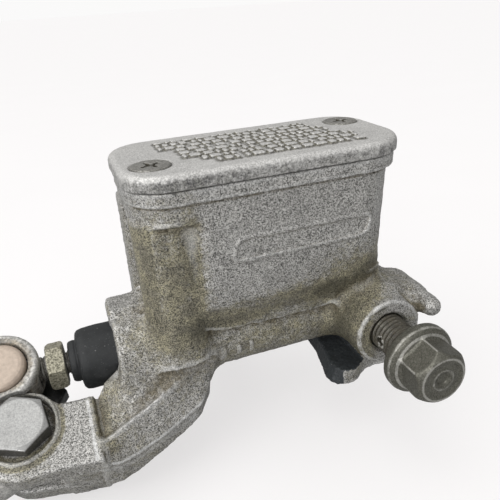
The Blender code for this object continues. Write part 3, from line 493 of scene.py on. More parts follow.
class Nodes:
    """A material's node tree round one principled shader, with coordinates in millimetres."""

    def __init__(self, name):
        self.material = bpy.data.materials.new(name)
        self.material.use_nodes = True
        self.tree = self.material.node_tree
        self.tree.nodes.clear()
        self.out = self.new("OutputMaterial")
        self.shader = self.new("BsdfPrincipled")
        self.link(self.shader.outputs[0], self.out.inputs[0])
        coords = self.new("TexCoord")
        self.mm = self.new("Mapping")
        self.mm.inputs["Scale"].default_value = (1000, 1000, 1000)
        self.link(coords.outputs["Object"], self.mm.inputs[0])

    def new(self, kind):
        return self.tree.nodes.new("ShaderNode" + kind)

    def link(self, source, target):
        self.tree.links.new(source, target)

    def put(self, socket, value):
        if isinstance(value, bpy.types.NodeSocket):
            self.link(value, socket)
        elif isinstance(value, tuple):
            is_colour = len(value) == 3 and socket.type == "RGBA"
            socket.default_value = (*value, 1) if is_colour else value
        else:
            socket.default_value = value

    def place(self, texture, location):
        mapping = self.new("Mapping")
        mapping.inputs["Location"].default_value = location
        self.link(self.mm.outputs[0], mapping.inputs[0])
        self.link(mapping.outputs[0], texture.inputs["Vector"])

    def noise(self, scale, detail=2.0, rough=0.5, distortion=0.0, seed=0.0):
        texture = self.new("TexNoise")
        texture.inputs["Scale"].default_value = scale
        texture.inputs["Detail"].default_value = detail
        texture.inputs["Roughness"].default_value = rough
        texture.inputs["Distortion"].default_value = distortion
        self.place(texture, (seed, seed * 0.7, seed * 1.3))
        return texture.outputs["Fac"]

    def voronoi(self, scale, seed):
        texture = self.new("TexVoronoi")
        texture.inputs["Scale"].default_value = scale
        self.place(texture, (seed, seed, seed))
        return texture.outputs["Distance"]

    def attribute(self, name):
        node = self.new("Attribute")
        node.attribute_name = name
        return node.outputs["Fac"]

    def remap(self, value, span, to=(0.0, 1.0)):
        node = self.new("MapRange")
        node.clamp = True
        for socket, item in zip(node.inputs[:5], (value, *span, *to)):
            self.put(socket, item)
        return node.outputs[0]

    def math(self, operation, one, other):
        node = self.new("Math")
        node.operation = operation
        self.put(node.inputs[0], one)
        self.put(node.inputs[1], other)
        return node.outputs[0]

    def add(self, one, other):
        return self.math("ADD", one, other)

    def minus(self, one, other):
        return self.math("SUBTRACT", one, other)

    def times(self, one, other):
        return self.math("MULTIPLY", one, other)

    def mix(self, share, one, other, mode="MIX"):
        node = self.new("Mix")
        node.data_type = "RGBA"
        node.blend_type = mode
        self.put(node.inputs["Factor"], share)
        self.put(node.inputs[6], one)
        self.put(node.inputs[7], other)
        return node.outputs[2]

    def bump(self, height, strength, distance):
        node = self.new("Bump")
        node.inputs["Strength"].default_value = strength
        node.inputs["Distance"].default_value = distance
        self.put(node.inputs["Height"], height)
        return node.outputs[0]

    def done(self, colour, rough, metallic, normal, specular=0.5):
        self.put(self.shader.inputs["Base Color"], colour)
        self.put(self.shader.inputs["Roughness"], rough)
        self.put(self.shader.inputs["Metallic"], metallic)
        self.put(self.shader.inputs["Specular IOR Level"], specular)
        self.link(normal, self.shader.inputs["Normal"])
        return self.material


def shade(colour, factor):
    return tuple(channel * factor for channel in colour)


def metal(name, light, dark, grain=3.6, contrast=(0.40, 0.60), blotch=0.35, mottle=0.3,
          hollow_dirt_and_shade=(0.10, 0.085, 0.055), hollow_dirt_and_shade_amount=0.85, grime_and_shade=(0.125, 0.116, 0.080),
          grime_and_shade_amount=0.75, edge=(0.52, 0.52, 0.51), edge_amount=0.45, rough=(0.40, 0.62),
          metallic=0.35, bump=0.35, paint=None):
    """Aged metal: speckle, blotches, mottling, dirt and painted shade in hollows, grime and painted
    shade, worn edges and painted highlights.
    """
    n = Nodes(name)
    coarse = n.noise(scale=grain, rough=0.6)
    broad = n.noise(scale=grain * 0.55, rough=0.6, seed=7)
    grains = n.add(n.times(coarse, 0.72), n.times(broad, 0.28))
    speckle = n.remap(grains, contrast)

    def speckled(low, high):
        return n.mix(speckle, low, high)

    colour = speckled(dark, light)
    # blotches, then broad mottling
    blotches = n.noise(scale=0.55, detail=4.0, rough=0.68, seed=11)
    mottles = n.noise(scale=0.11, detail=3.0, rough=0.6, distortion=0.4, seed=3)
    colour = n.mix(n.remap(blotches, span=(0.46, 0.66), to=(0.0, blotch)), colour,
                   speckled(shade(dark, 0.55), shade(light, 0.62)))
    colour = n.mix(n.remap(mottles, span=(0.42, 0.68), to=(0.0, mottle)), colour,
                   speckled(shade(dark, 0.5), shade(light, 0.6)))
    cavity_at, edge_at, grime_and_shade_at = (n.attribute(key) for key in ("cavity", "edge", "grime_and_shade"))
    wobble = n.minus(blotches, 0.5)
    fine = n.noise(scale=1.7, detail=3.0, rough=0.65, seed=17)
    ragged = n.add(n.times(wobble, 1.5), n.times(n.minus(fine, 0.5), 1.7))
    # grime and painted shade with ragged borders, nearly black where they lie thick
    grime_and_shade_share = n.times(n.remap(n.add(grime_and_shade_at, ragged), span=(0.10, 0.95), to=(0.0, grime_and_shade_amount)),
                    n.remap(grime_and_shade_at, span=(0.0, 0.25)))
    tint = n.mix(n.remap(n.noise(scale=0.3, detail=3.0, rough=0.6, seed=23), span=(0.4, 0.6)),
                 grime_and_shade, (grime_and_shade[0] * 0.62, grime_and_shade[1] * 0.62, grime_and_shade[2] * 0.66))
    colour = n.mix(grime_and_shade_share, colour, speckled(n.mix(0.72, tint, (0.0, 0.0, 0.0)),
                                           n.mix(1.0, tint, (2.9, 2.85, 2.7), "MULTIPLY")))
    thick = n.remap(n.add(grime_and_shade_at, n.times(ragged, 1.1)), span=(1.25, 2.4), to=(0.0, 0.85))
    colour = n.mix(thick, colour, speckled(shade(grime_and_shade, 0.16), shade(grime_and_shade, 0.95)))
    # dirt and painted shade in the hollows
    dirt_and_shade_in_hollows = n.remap(n.add(cavity_at, n.times(wobble, 0.9)), span=(0.22, 0.72),
                    to=(0.0, hollow_dirt_and_shade_amount))
    colour = n.mix(dirt_and_shade_in_hollows, colour, speckled(shade(hollow_dirt_and_shade, 0.4), shade(hollow_dirt_and_shade, 1.7)))
    # bare metal on worn edges, and painted highlights with some wear where the piece's highlight
    # mask marks them
    worn_and_highlit = n.times(n.remap(n.add(edge_at, n.times(wobble, 0.6)), span=(0.28, 0.60),
                           to=(0.0, edge_amount)), n.minus(1.0, dirt_and_shade_in_hollows))
    highlight_and_wear_at = n.attribute("highlight_and_wear")
    worn_and_highlit = n.math("MAXIMUM", worn_and_highlit, n.times(
        n.remap(n.add(highlight_and_wear_at, n.times(wobble, 1.2)), span=(0.35, 0.75)),
        n.remap(highlight_and_wear_at, span=(0.0, 0.1), to=(0.0, 0.9))))
    colour = n.mix(worn_and_highlit, colour, speckled(shade(edge, 0.6), edge))
    roughness = n.add(n.remap(grains, span=(0.35, 0.65), to=rough[::-1]), n.times(dirt_and_shade_in_hollows, 0.2))
    normal = n.bump(n.add(grains, n.times(blotches, 0.3)), strength=bump, distance=0.00007)
    metalness = n.times(n.minus(1.0, n.math("MAXIMUM", dirt_and_shade_in_hollows, grime_and_shade_share)), metallic)
    if paint:
        painted = n.remap(n.add(n.attribute("paint"), n.times(wobble, 0.5)), span=(0.45, 0.55))
        chips = n.remap(n.noise(scale=1.9, detail=3.0, rough=0.7, seed=31),
                        span=(0.66, 0.72), to=(0.0, 0.6))
        coat = n.mix(chips, speckled(shade(paint, 0.6), shade(paint, 1.3)), (0.30, 0.30, 0.29))
        colour = n.mix(painted, colour, coat)
        metalness = n.times(metalness, n.minus(1.0, painted))
    return n.done(colour, roughness, metalness, normal)


def rubber():
    n = Nodes("aged_rubber")
    cloudy = n.noise(scale=0.5, detail=4.0, rough=0.6)
    fine = n.noise(scale=3.0, detail=3.0, rough=0.6, seed=3)
    spots = n.voronoi(scale=0.55, seed=4.0)
    colour = n.mix(n.remap(cloudy, span=(0.35, 0.7)), (0.010, 0.011, 0.012), (0.026, 0.028, 0.029))
    for value, span, amount, dust in (
            (fine, (0.64, 0.72), 0.55, (0.14, 0.145, 0.145)),
            (spots, (0.10, 0.04), 0.5, (0.28, 0.28, 0.27)),
            (n.attribute("edge"), (0.3, 0.7), 0.35, (0.12, 0.12, 0.12))):
        colour = n.mix(n.remap(value, span=span, to=(0.0, amount)), colour, dust)
    normal = n.bump(n.add(cloudy, n.times(fine, 0.4)), strength=0.35, distance=0.0001)
    return n.done(colour, n.remap(cloudy, span=(0.3, 0.7), to=(0.5, 0.72)), metallic=0.0,
                  normal=normal, specular=0.4)


def plastic():
    n = Nodes("pale_plastic")
    cloudy = n.noise(scale=0.6, detail=3.0, rough=0.6)
    colour = n.mix(cloudy, (0.66, 0.65, 0.58), (0.78, 0.77, 0.70))
    return n.done(colour, n.remap(cloudy, span=(0.3, 0.7), to=(0.45, 0.6)), metallic=0.0,
                  normal=n.bump(cloudy, strength=0.1, distance=0.0001))


MATERIALS = {
    "cast_aluminium": metal(
        "die_cast_aluminium", light=(0.62, 0.61, 0.585), dark=(0.070, 0.068, 0.062), grain=3.9,
        contrast=(0.40, 0.59), blotch=0.45, mottle=0.4, grime_and_shade_amount=0.92, hollow_dirt_and_shade_amount=0.92,
        edge=(0.72, 0.72, 0.71), edge_amount=0.40, paint=(0.022, 0.026, 0.029)),
    "cap_aluminium": metal(
        "cap_aluminium", light=(0.72, 0.71, 0.69), dark=(0.42, 0.415, 0.40), grain=3.4,
        blotch=0.22, mottle=0.2, hollow_dirt_and_shade=(0.17, 0.16, 0.13), hollow_dirt_and_shade_amount=0.9,
        grime_and_shade=(0.085, 0.085, 0.082), grime_and_shade_amount=0.92, edge=(0.66, 0.66, 0.65),
        rough=(0.36, 0.55), bump=0.25),
    "lever_aluminium": metal(
        "lever_aluminium", light=(0.66, 0.65, 0.62), dark=(0.28, 0.275, 0.26), grain=2.0,
        contrast=(0.36, 0.62), blotch=0.2, mottle=0.15, hollow_dirt_and_shade=(0.10, 0.075, 0.04),
        grime_and_shade=(0.12, 0.10, 0.07), edge=(0.66, 0.66, 0.64), edge_amount=0.5, rough=(0.30, 0.46),
        metallic=0.5, bump=0.18, paint=(0.020, 0.021, 0.020)),
    "barrel_aluminium": metal(
        "tan_barrel", light=(0.56, 0.46, 0.375), dark=(0.44, 0.36, 0.295), grain=1.4,
        contrast=(0.3, 0.7), blotch=0.12, mottle=0.10, hollow_dirt_and_shade=(0.20, 0.13, 0.05),
        edge=(0.36, 0.27, 0.13), edge_amount=0.9, rough=(0.36, 0.5), metallic=0.15, bump=0.08),
    "bright_steel": metal(
        "bright_bolt", light=(0.43, 0.43, 0.42), dark=(0.27, 0.27, 0.265), grain=3.4,
        contrast=(0.32, 0.68), blotch=0.28, mottle=0.15, hollow_dirt_and_shade=(0.06, 0.056, 0.045),
        grime_and_shade=(0.075, 0.073, 0.068), grime_and_shade_amount=0.9, edge=(0.72, 0.72, 0.71), edge_amount=0.6,
        rough=(0.28, 0.44), metallic=0.55, bump=0.15),
    "dark_steel": metal(
        "aged_dark_steel", light=(0.185, 0.181, 0.152), dark=(0.072, 0.070, 0.056), grain=3.2,
        contrast=(0.34, 0.66), blotch=0.30, mottle=0.25, hollow_dirt_and_shade=(0.026, 0.022, 0.016),
        grime_and_shade=(0.034, 0.028, 0.019), grime_and_shade_amount=0.8, edge=(0.50, 0.49, 0.45), edge_amount=0.9,
        rough=(0.32, 0.50), metallic=0.6, bump=0.22),
    "zinc_steel": metal(
        "yellow_zinc", light=(0.48, 0.455, 0.35), dark=(0.13, 0.122, 0.088), grain=2.6,
        blotch=0.3, mottle=0.2, hollow_dirt_and_shade=(0.07, 0.06, 0.035), edge=(0.66, 0.64, 0.53),
        edge_amount=0.55, rough=(0.4, 0.6), metallic=0.4),
    "steel": metal(
        "aged_steel", light=(0.36, 0.35, 0.325), dark=(0.15, 0.145, 0.13), grain=2.2,
        contrast=(0.38, 0.62), blotch=0.25, mottle=0.2, hollow_dirt_and_shade=(0.05, 0.043, 0.03),
        edge=(0.56, 0.56, 0.54), edge_amount=0.5, rough=(0.34, 0.5), metallic=0.5, bump=0.18),
    "brass": metal("brass_bush", light=(0.60, 0.47, 0.24), dark=(0.40, 0.31, 0.15),
                   metallic=0.9, bump=0.1),
    "rubber": rubber(),
    "plastic": plastic(),
}

# CAD pieces that are shown as they are
CAD_LOOKS = {
    "rubber_diaphragm": "rubber", "diaphragm_plate": "plastic", "port_shield": "steel",
    "piston": "lever_aluminium", "primary_cup": "rubber", "secondary_cup": "rubber",
    "stop_washer": "steel", "circlip": "steel", "pivot_bush": "brass"}
for _node, _look in CAD_LOOKS.items():
    _slots = cad["nodes"][_node].data.materials
    _slots.clear()
    _slots.append(MATERIALS[_look])

# ---------------------------------------------------------------- body casting

RIM_INSET = 0.55  # the rim stands this far inside the cap's outline
RIM_BASE = 40.1
RIM = (CAP_LEFT + RIM_INSET, CAP_RIGHT - RIM_INSET, CAP_FRONT + RIM_INSET, CAP_BACK - RIM_INSET,
       9.3, CORNER_EXTRA)
# reservoir walls: z, left, right, front, back, corner radius
WALL = np.array([
    (-2.0, 20.0, 60.0, -2.5, 3.5, 3.0), (1.0, 17.0, 62.5, -5.0, 5.5, 4.0),
    (6.0, 12.2, 66.9, -9.6, 9.5, 6.0), (10.0, 9.8, 68.9, -12.6, 12.0, 7.5),
    (14.5, 8.9, 69.3, -14.5, 13.6, 8.6), (19.5, 8.3, 69.5, -15.2, 14.4, 9.0),
    (39.4, 7.4, 70.35, -15.75, 15.1, 9.2), (39.7, 7.65, 70.1, -15.5, 14.8, 9.0),
    (RIM_BASE, 7.65, 70.1, -15.5, 14.8, 9.0)])
# reservoir inside: z, left, right, front, back
CAVITY = np.array([(13.5, 16, 63, -8, 8), (17.5, 12.6, 66.2, -11.6, 11),
                   (45.4, 10.6, 67.8, -13, 12.2)])
# arm to the fork, right to left: x, inner back, then (back, rise) of the ridge, of the facet
# edge, of the side and of the underside
ARM = np.array([
    (20.6, -2.0, -11.0, 1.8, -12.0, -1.0, -12.0, -4.0, -8.0, -7.0),
    (19.6, -2.0, -11.6, 2.3, -14.9, -1.0, -15.4, -4.6, -11.0, -7.8),
    (16.5, -2.0, -12.2, 2.6, -18.7, -1.6, -19.6, -5.4, -15.0, -8.6),
    (11.5, -2.0, -14.4, 2.8, -21.0, -1.9, -22.4, -6.2, -18.0, -9.6),
    (5.5, -2.0, -17.2, 2.9, -23.6, -2.0, -24.9, -7.4, -21.5, -11.0),
    (-0.3, -8.4, -19.8, 3.0, -25.6, -2.0, -26.8, -9.0, -24.0, -12.8),
    (-4.2, -8.8, -21.6, 3.0, -26.6, -1.6, -27.6, -10.6, -25.0, -14.6),
    (-6.6, -11.9, -22.3, 2.8, -26.6, -0.6, -27.4, -11.6, -25.3, -16.2),
    (-8.4, -11.9, -22.6, 2.3, -26.4, -0.2, -27.1, -12.4, -25.3, -16.9)])[::-1]
# outline of the solid between the ears, right of the slot: x, back
FORK_ROOT = [(-14.63, -11.6), (-14.2, -14.3), (-14.73, -17.3), (-16.26, -19.96), (-17.0, -22.0),
             (-16.6, -24.2), (-15.4, -25.35), (-7.5, -26.0), (-7.5, -11.7)]
# web behind the hose boss: x, z
BOSS_WEB = [(60.0, 3.5), (60.0, -4.5), (69.0, -6.5), (73.4, -4.0), (77.0, 3.2), (77.2, 5.6),
            (75.5, 6.5), (70.0, 9.5), (64.0, 9.5)]
# flat tongue below the tube: x, y, shift to the left at its bottom
TONGUE = [(53.8, 2.0, 0.8), (53.4, -4.0, 0.8), (52.5, -10.0, 1.2), (51.5, -15.0, 1.6),
          (51.6, -17.6, 1.5), (52.4, -19.3, 1.2), (54.0, -20.1, 0.7), (55.8, -20.0, 0.3),
          (57.4, -19.2, 0.1), (61.4, -16.0, 0.0), (63.6, -10.0, 0.0), (64.0, -4.0, 0.0),
          (64.0, 2.0, 0.0)]
# web that joins the tongue to the boss: x, z
TONGUE_WEB = [(59.5, -13.7), (61.5, -13.7), (66.5, -11.0), (66.5, -4.0), (61.5, -4.0),
              (61.5, -9.6), (59.5, -9.6)]
# web under the hose boss, running on from the tongue's edge: x, y
LOW_WEB = [(59.7, -17.4), (61.0, -17.0), (63.5, -17.2), (67.0, -18.4), (70.4, -20.6),
           (72.0, -19.0), (71.0, -6.0), (59.7, -6.0)]
# body's half of the handlebar clamp: y, z
SADDLE = [(4.0, -9.0), (20.0, -15.7), (32.2, -15.7), (32.2, 31.7), (20.5, 31.7), (12.5, 30.8),
          (6.0, 18.0), (0.0, 4.0), (0.0, -8.5)]
# turned shapes: along, radius
TUBE = [(0, 11.9), (0.4, 12.3), (13.0, 12.3), (16.0, 11.4), (19.0, 10.2), (23, 9.8),
        (67.3, 9.8), (68.5, 9.2), (69.0, 8.0)]
HOSE_BOSS = [(-22.4, 8.25), (-22.0, 8.6), (-14, 8.9), (-9.5, 9.6), (-4, 10.2)]
BORE = [(-14, 8.0), (-1.0, 8.0), (-0.4, 9.2), (0.3, 8.9), (4.6, 8.9), (4.6, 7.6), (8.2, 7.6),
        (8.2, 6.45), (58, 6.45), (60.5, 3.2), (66, 3.2)]
HOSE_HOLE = [(-30, 5.6), (-22.4, 5.6), (-21.7, 4.95), (-8, 4.95), (-6, 2.5), (1, 2.5)]
SPOT_FACE_RING = [
    (EAR_TOP - 1.5, 6.6), (EAR_TOP - 1.5, 8.2), (EAR_TOP + 0.35, 8.1), (EAR_TOP + 0.62, 7.8),
    (EAR_TOP + 0.55, 7.4), (EAR_TOP - 0.5, 7.0)]


def ear_outline(arc_start, arc_end, edge_back, side_back, right):
    """Fork ear round the pivot; its radius grows over the last part of the arc."""
    points = []
    for i in range(13):
        angle = 62 + 200 * i / 12
        radius = arc_start + (arc_end - arc_start) * max(0.0, (angle - 150.0) / 112.0)
        turn = math.radians(angle)
        points.append((PIVOT_X + radius * math.cos(turn), PIVOT_BACK + radius * math.sin(turn)))
    return points + [(-16.0, side_back - 1.4), (-9.0, side_back - 2.2), (right, side_back - 2.3),
                     (right, edge_back), (-14.6, edge_back + 0.3)]


def walls(x, y, z):
    shell = rounded_rect(x, y, *stations(z, WALL), CORNER_EXTRA * clip01((z - 8) / 11))
    slope = np.where(z < 10, 0.72, 0.98).astype(F32)
    return np.maximum(np.maximum(shell * slope, -2.0 - z), z - RIM_BASE)


def front_column(x, y, z):
    """Half-round front-left screw column, its top tucked under the proud band below the rim."""
    screw_x, screw_y = SCREWS[0]
    radius = np.interp(z, [0, 8, 30, 37.5], [7.3, 7.0, 7.0, 7.1]).astype(F32)
    side = dist(x - (screw_x + 1.1), y - (screw_y - 0.8)) - radius
    return np.maximum(np.maximum(side, 1.0 - z), z - 35.6)


def back_column(x, y, z):
    screw_x, screw_y = SCREWS[1]
    radius = np.interp(z, [8, 14, 37], [5.6, 6.8, 7.4]).astype(F32)
    side = dist(x - screw_x + 0.6, y - screw_y) - radius
    return soft_max(np.maximum(side, 8.0 - z), z - 38.4, 1.2)


def corner_groove(x, y, z):
    pipe = dist(x - 19.0, y + 16.85 + (34.5 - z) * 0.02) - 2.5
    return soft_max(pipe.astype(F32), z - 34.6, 1.5)


def front_lip(x, y, z):
    """Low proud lip that ends the front wall in a wavy line above the tube."""
    low = np.interp(x, [17, 20, 24, 28.5, 39, 50, 58, 62],
                    [9.5, 8.0, 5.6, 4.9, 4.6, 4.7, 6.2, 8.0]).astype(F32)
    low = low + lumps(x, x * 0, x * 0, 0.5, 3.0, 1.3)
    fade = clip01(1 - (z - low) / 6.0)
    shell = rounded_rect(x, y, *stations(np.maximum(z, low), WALL))
    shell = shell * F32(0.8) - F32(1.7) * (fade * fade).astype(F32)
    shell = np.maximum(shell, (low - z) * F32(0.9))
    return np.maximum(shell, np.maximum(z - 14, y + 4)).astype(F32)


def arm(x, y, z):
    back, rise = tilted(y, z)
    top = np.where(x > -6, 1.2, 1.0).astype(F32)
    inner, ridge, ridge_rise, *lower = stations(x, ARM)
    points = [(inner, top), (ridge + 1.5, top), (ridge, ridge_rise), *zip(lower[::2], lower[1::2]),
              (inner, lower[-1])]
    section = poly(back, rise, points) * F32(0.86) + F32(0.5)
    ends = np.maximum(x - 20.2, -7.9 - x) + F32(0.5)
    return soft_max(section, ends, 1.2) - F32(0.5)


def tongue(x, y, z):
    depth = clip01((-9.6 - z) / 4.2).astype(F32)
    points = [(at_x - shift * depth, np.full(x.shape, at_y, F32)) for at_x, at_y, shift in TONGUE]
    return extrude(poly(x, y, points), z, -13.8, -9.6, 0.3)


def prong(x, y, z):
    """Rounded stop finger that tapers forwards."""
    share = clip01((-8.0 - y) / 14.3)
    off_axis = dist(x - 74.6 - 1.0 * share, (z - 4.3 - 0.5 * share) * 0.96,
                    y - (-8.0 - 14.3 * share))
    return ((off_axis - (3.8 - 1.45 * share)) * 0.97).astype(F32)


def low_web(x, y, z):
    bottom = np.interp(x, [57, 61, 66, 71], [-13.7, -13.6, -12.4, -9.0])
    return soft_max(prism("xy", LOW_WEB, -14.5, -5.0, 0.3)(x, y, z), bottom - z, 0.4)


def front_bar(x, y, z):
    """Plain raised bar on the front wall, leaning to the right, with a sunk face."""
    height = z - 27.5
    lean = x - 44.0 - height * 0.25
    outer = extrude(rounded_rect(lean, height, -16.5, 17.5, -3.0, 3.0, 2.2), y, -15.78, -12.0, 0.15)
    inner = extrude(rounded_rect(lean, height, -15.7, 16.7, -2.2, 2.2, 1.5), y, -18.0, -15.2, 0.2)
    return np.maximum(outer, -inner)


def cavity(x, y, z):
    hollow = rounded_rect(x, y, *stations(z, CAVITY), 6.5) * F32(0.8)
    to_screw = np.minimum(*(dist(x - at_x, y - at_y) for at_x, at_y in SCREWS))
    return np.maximum(np.maximum(hollow, 13.5 - z), 5.2 - to_screw)


def lever_sweep(x, y, z):
    off_x, off_back, rise = about_pivot(x, y, z)
    return extrude((dist(off_x, off_back) - 8.75).astype(F32), rise, SLOT_LOW, SLOT_TOP)


def spot_face_ring(x, y, z):
    off_x, off_back, rise = about_pivot(x, y, z)
    wobble = 0.12 * np.sin(np.arctan2(off_back, off_x) * 5 + 1.0)
    return ringed(rise, dist(off_x, off_back) + wobble, SPOT_FACE_RING)


def pivot_hole(x, y, z):
    wide = spun("tilted", PIVOT, [(SLOT_LOW - 1, 4.15), (12, 4.15)])
    narrow = spun("tilted", PIVOT, [(-30, 3.15), (SLOT_LOW + 1, 3.15)])
    return np.minimum(wide(x, y, z), narrow(x, y, z))


def shape_reservoir(body):
    body.add((6, -18, -2, 72, 17, 41), walls)
    body.add((5, -18, 0, 25, 3, 38), front_column, 1.6)
    body.add((58, -1, 8, 74, 16, 39), back_column, 1.6)
    # shallow upright rib at the left wall's rear
    body.cut((4, -7, 2, 10, 5, 37), block("xy", (0.0, 9.1, -6.6, 4.2, 1.0), 4.0, 36.0, 0.6), 0.5)
    body.add((6, -2, 4, 12, 14, 38), block("xy", (7.25, 12.0, 4.0, 13.0, 1.8), 3.0, 36.5, 0.6), 0.7)
    # the corner below the band stands back, with a soft groove between it and the front wall
    body.cut((2, -20, 0, 20, -12, 36),
             block("xz", (-6.0, 18.6, -25.0, 35.5, 3.0), -30.0, -14.95, 0.1), 0.3)
    body.cut((16, -20, 8, 23, -14, 36), corner_groove, 1.8)
    body.cut((10, -18, 33, 16, -13, 37),
             block("xz", (10.9, 14.4, 34.75, 35.5, 0.3), -20.0, -14.45, 0.1), 0.5)


def shape_tube(body):
    body.add((0, -13, -13, 70, 13, 13), spun("yz", (0, 0), TUBE), 3.2)
    body.add((16, -18, 3, 63, -4, 14), front_lip, 0.35)
    # three plain upright pips on the front of the tube
    for pip_x in (24.6, 28.6, 31.9):
        body.add((pip_x - 1, -12, -5, pip_x + 1, -7, 2), lambda x, y, z: extrude(
            rounded_rect(x, z, pip_x - 0.55, pip_x + 0.55, -3.3, -0.3, 0.5),
            dist(y, z), 8.0, 10.5, 0.15), 0.2)
    # flat rib on top of the collar
    body.add((0, -4, 10, 12, 5, 14), block("xy", (0.0, 10.5, -3.2, 4.0, 0.8), 9.0, 13.0, 0.5), 1.6)


def shape_fork(body):
    upper_ear = ear_outline(8.2, 11.3, edge_back=-11.2, side_back=-24.2, right=-7.1)
    lower_ear = ear_outline(8.2, 9.4, edge_back=-11.45, side_back=-23.4, right=-7.9)
    body.add((-9, -30, -22, 21, 0, 8), arm, 7.0)
    body.add((-34, -28, -20, -6, 0, 6), prism("tilted", upper_ear, SLOT_TOP, EAR_TOP, 0.7), 1.3)
    body.add((-34, -28, -26, -6, 0, 0), prism("tilted", lower_ear, EAR_LOW, SLOT_LOW, 0.7), 1.3)
    body.add((-18, -28, -26, -6, 0, 0),
             prism("tilted", FORK_ROOT, EAR_LOW + 1.1, SLOT_TOP + 1.0, 0.4), 1.3)


def shape_hose_end(body):
    body.add((53, -23, -10, 75, -3, 12), spun("xz", HOSE, HOSE_BOSS), 3.0)
    body.add((58, -17, -8, 78, -4, 11), prism("xz", BOSS_WEB, -16.8, -5.0, 1.8), 3.4)
    body.add((72, -25, 2, 79, -7, 8), prong, 3.0)
    body.add((48, -23, -15, 65, 3, -8), tongue, 0.5)
    body.add((53, -5, -15, 65, 5, -6),
             block("xy", (54.6, 63.4, -3.4, 3.1, 1.0), -12.8, -7.0, 0.6), 1.0)
    body.add((56, -23, -15, 74, -5, -5), low_web, 0.8)
    body.add((51, -15, -15, 68, -3, -3), prism("xz", TONGUE_WEB, -13.9, -4.1, 0.5), 0.8)


def hollow_body(body):
    """Reservoir, bore, hose hole and cap screw holes."""
    body.cut((5, -22, 13, 70, 16, 46), cavity)
    body.cut((9, -15, 42, 70, 14, 46),
             block("xy", (9.0, 69.6, -14.5, 13.6, 7.6), CAP_BASE - 1.3, CAP_BASE + 3))
    body.cut((-14, -9, -9, 66, 9, 9), spun("yz", (0, 0), BORE))
    body.cut((58, -31, -6, 70, 1, 7), spun("xz", HOSE, HOSE_HOLE))
    for at_x, at_y in SCREWS:
        body.cut((at_x - 3, at_y - 3, 26, at_x + 3, at_y + 3, 50),
                 lambda x, y, z: np.maximum(dist(x - at_x, y - at_y) - 2.2, 26 - z))


def cut_fork(body):
    """Keep the slot clear, and cut a spot-face with a thin raised ring round the pivot hole."""
    body.cut((-33, -26, -24, -13, 2, 2), lever_sweep, 0.3)
    body.add((-32, -24, -6, -14, -2, 6), spot_face_ring, 0.35)
    body.cut((-31, -23, -4, -15, -2, 12), spun("tilted", PIVOT, [(0.0, 7.3), (12, 7.3)]), 0.15)
    body.cut((-28, -26, -26, -18, 0, 10), pivot_hole)


def cut_clamp(body):
    body.cut((20, 21, -4, 43, 45, 20),
             lambda x, y, z: (dist(y - BAR_Y, z - BAR_Z) - BAR_BORE).astype(F32), 0.3)
    for side in (-1, 1):
        bolt_z = BAR_Z + side * CLAMP_BOLT_RISE
        body.cut((28, 18, bolt_z - 3, 35, 40, bolt_z + 3), lambda x, y, z: np.maximum(
            dist(x - CLAMP_BOLT_X, z - BAR_Z - side * CLAMP_BOLT_RISE) - 2.6, 19 - y))


def body_shape(x, y, z):
    body = Field(x, y, z)
    shape_reservoir(body)
    shape_tube(body)
    shape_fork(body)
    shape_hose_end(body)
    body.add((20, -1, -17, 43, 33, 33), prism("yz", SADDLE, CLAMP_LEFT, CLAMP_RIGHT, 0.9), 2.6)
    body.add((6, -18, 39, 73, 17, 44), block("xy", RIM, RIM_BASE, CAP_BASE - 0.3, 0.22), 0.25)
    body.add((24, -17, 22, 66, -12, 33), front_bar, 0.3)
    # small dimple high on the right of the front wall
    body.cut((66, -18, 32, 70, -12, 38), lambda x, y, z: (
        dist(x - 67.6, y + 16.2, z - 34.6) - 0.9).astype(F32), 0.2)
    hollow_body(body)
    cut_fork(body)
    cut_clamp(body)
    # as-cast skin: fine lumps and broader waves
    roughen(body.solid, x, y, z, 1.5, ((1.35, 0.0, 0.16), (0.35, 5.0, 0.16), (2.9, 9.0, 0.10)))
    return body.solid


# soft dark patches, mostly grime: strength, centre, size; in x, y, z. The narrow ones down the
# corner groove and along the ledge under the band are painted shade.
STAIN_AND_SHADE_PATCHES = [
    (0.80, (12, -14, 24), (7, 7, 16)), (0.50, (15.5, -15, 20), (4.5, 6, 16)),
    (1.3, (19.0, -15, 25), (1.5, 4, 13)), (0.9, (13.0, -15, 35.0), (5.0, 3, 0.9)),
    (0.85, (12, -10, 8), (12, 9, 6)), (1.3, (19.5, -12.5, 9.5), (4.0, 5, 3.2)),
    (0.9, (30, -13, 7.5), (7, 6, 1.8)), (2.1, (53, -14, 11), (6.5, 7, 3.6)),
    (0.7, (58, -15, 18), (9, 6, 5)), (4.2, (62.3, -13.5, 13.8), (3.4, 8, 3.0)),
    (0.6, (68, -13, 20), (3.0, 8, 6)), (0.8, (42, -15, 12), (9, 6, 3.5)),
    (0.75, (26, -12, 9), (12, 8, 4)), (0.55, (44, -10, 2), (16, 8, 5)),
    (2.9, (56.5, -15, -2), (3.8, 9, 8)), (0.8, (58, -17, 8), (5, 7, 4)),
    (0.6, (70, -12, 8), (6, 6, 5)), (1.6, (70.5, -19.0, 3.5), (2.6, 3.0, 2.6)),
    (0.55, (9, 0, 20), (2.5, 8, 20)), (0.55, (34, -10, -2), (22, 5, 5))]
# the same in x, back, rise; the narrow one just right of the step by the fork is painted shade
FORK_STAIN_AND_SHADE_PATCHES = [
    (1.5, (-6.3, -17, 2), (1.8, 7, 4)), (0.5, (-3.5, -17, 2), (3.5, 8, 4)),
    (0.65, (0, -9, 2), (8, 5, 5)), (0.35, (4, -25, -6), (14, 4, 5))]


def gaussian_patches(x, y, z, table):
    total = 0
    for strength, middle, size in table:
        parts = [((at - mid) / wide) ** 2 for at, mid, wide in zip((x, y, z), middle, size)]
        total = total + strength * np.exp(-sum(parts))
    return total


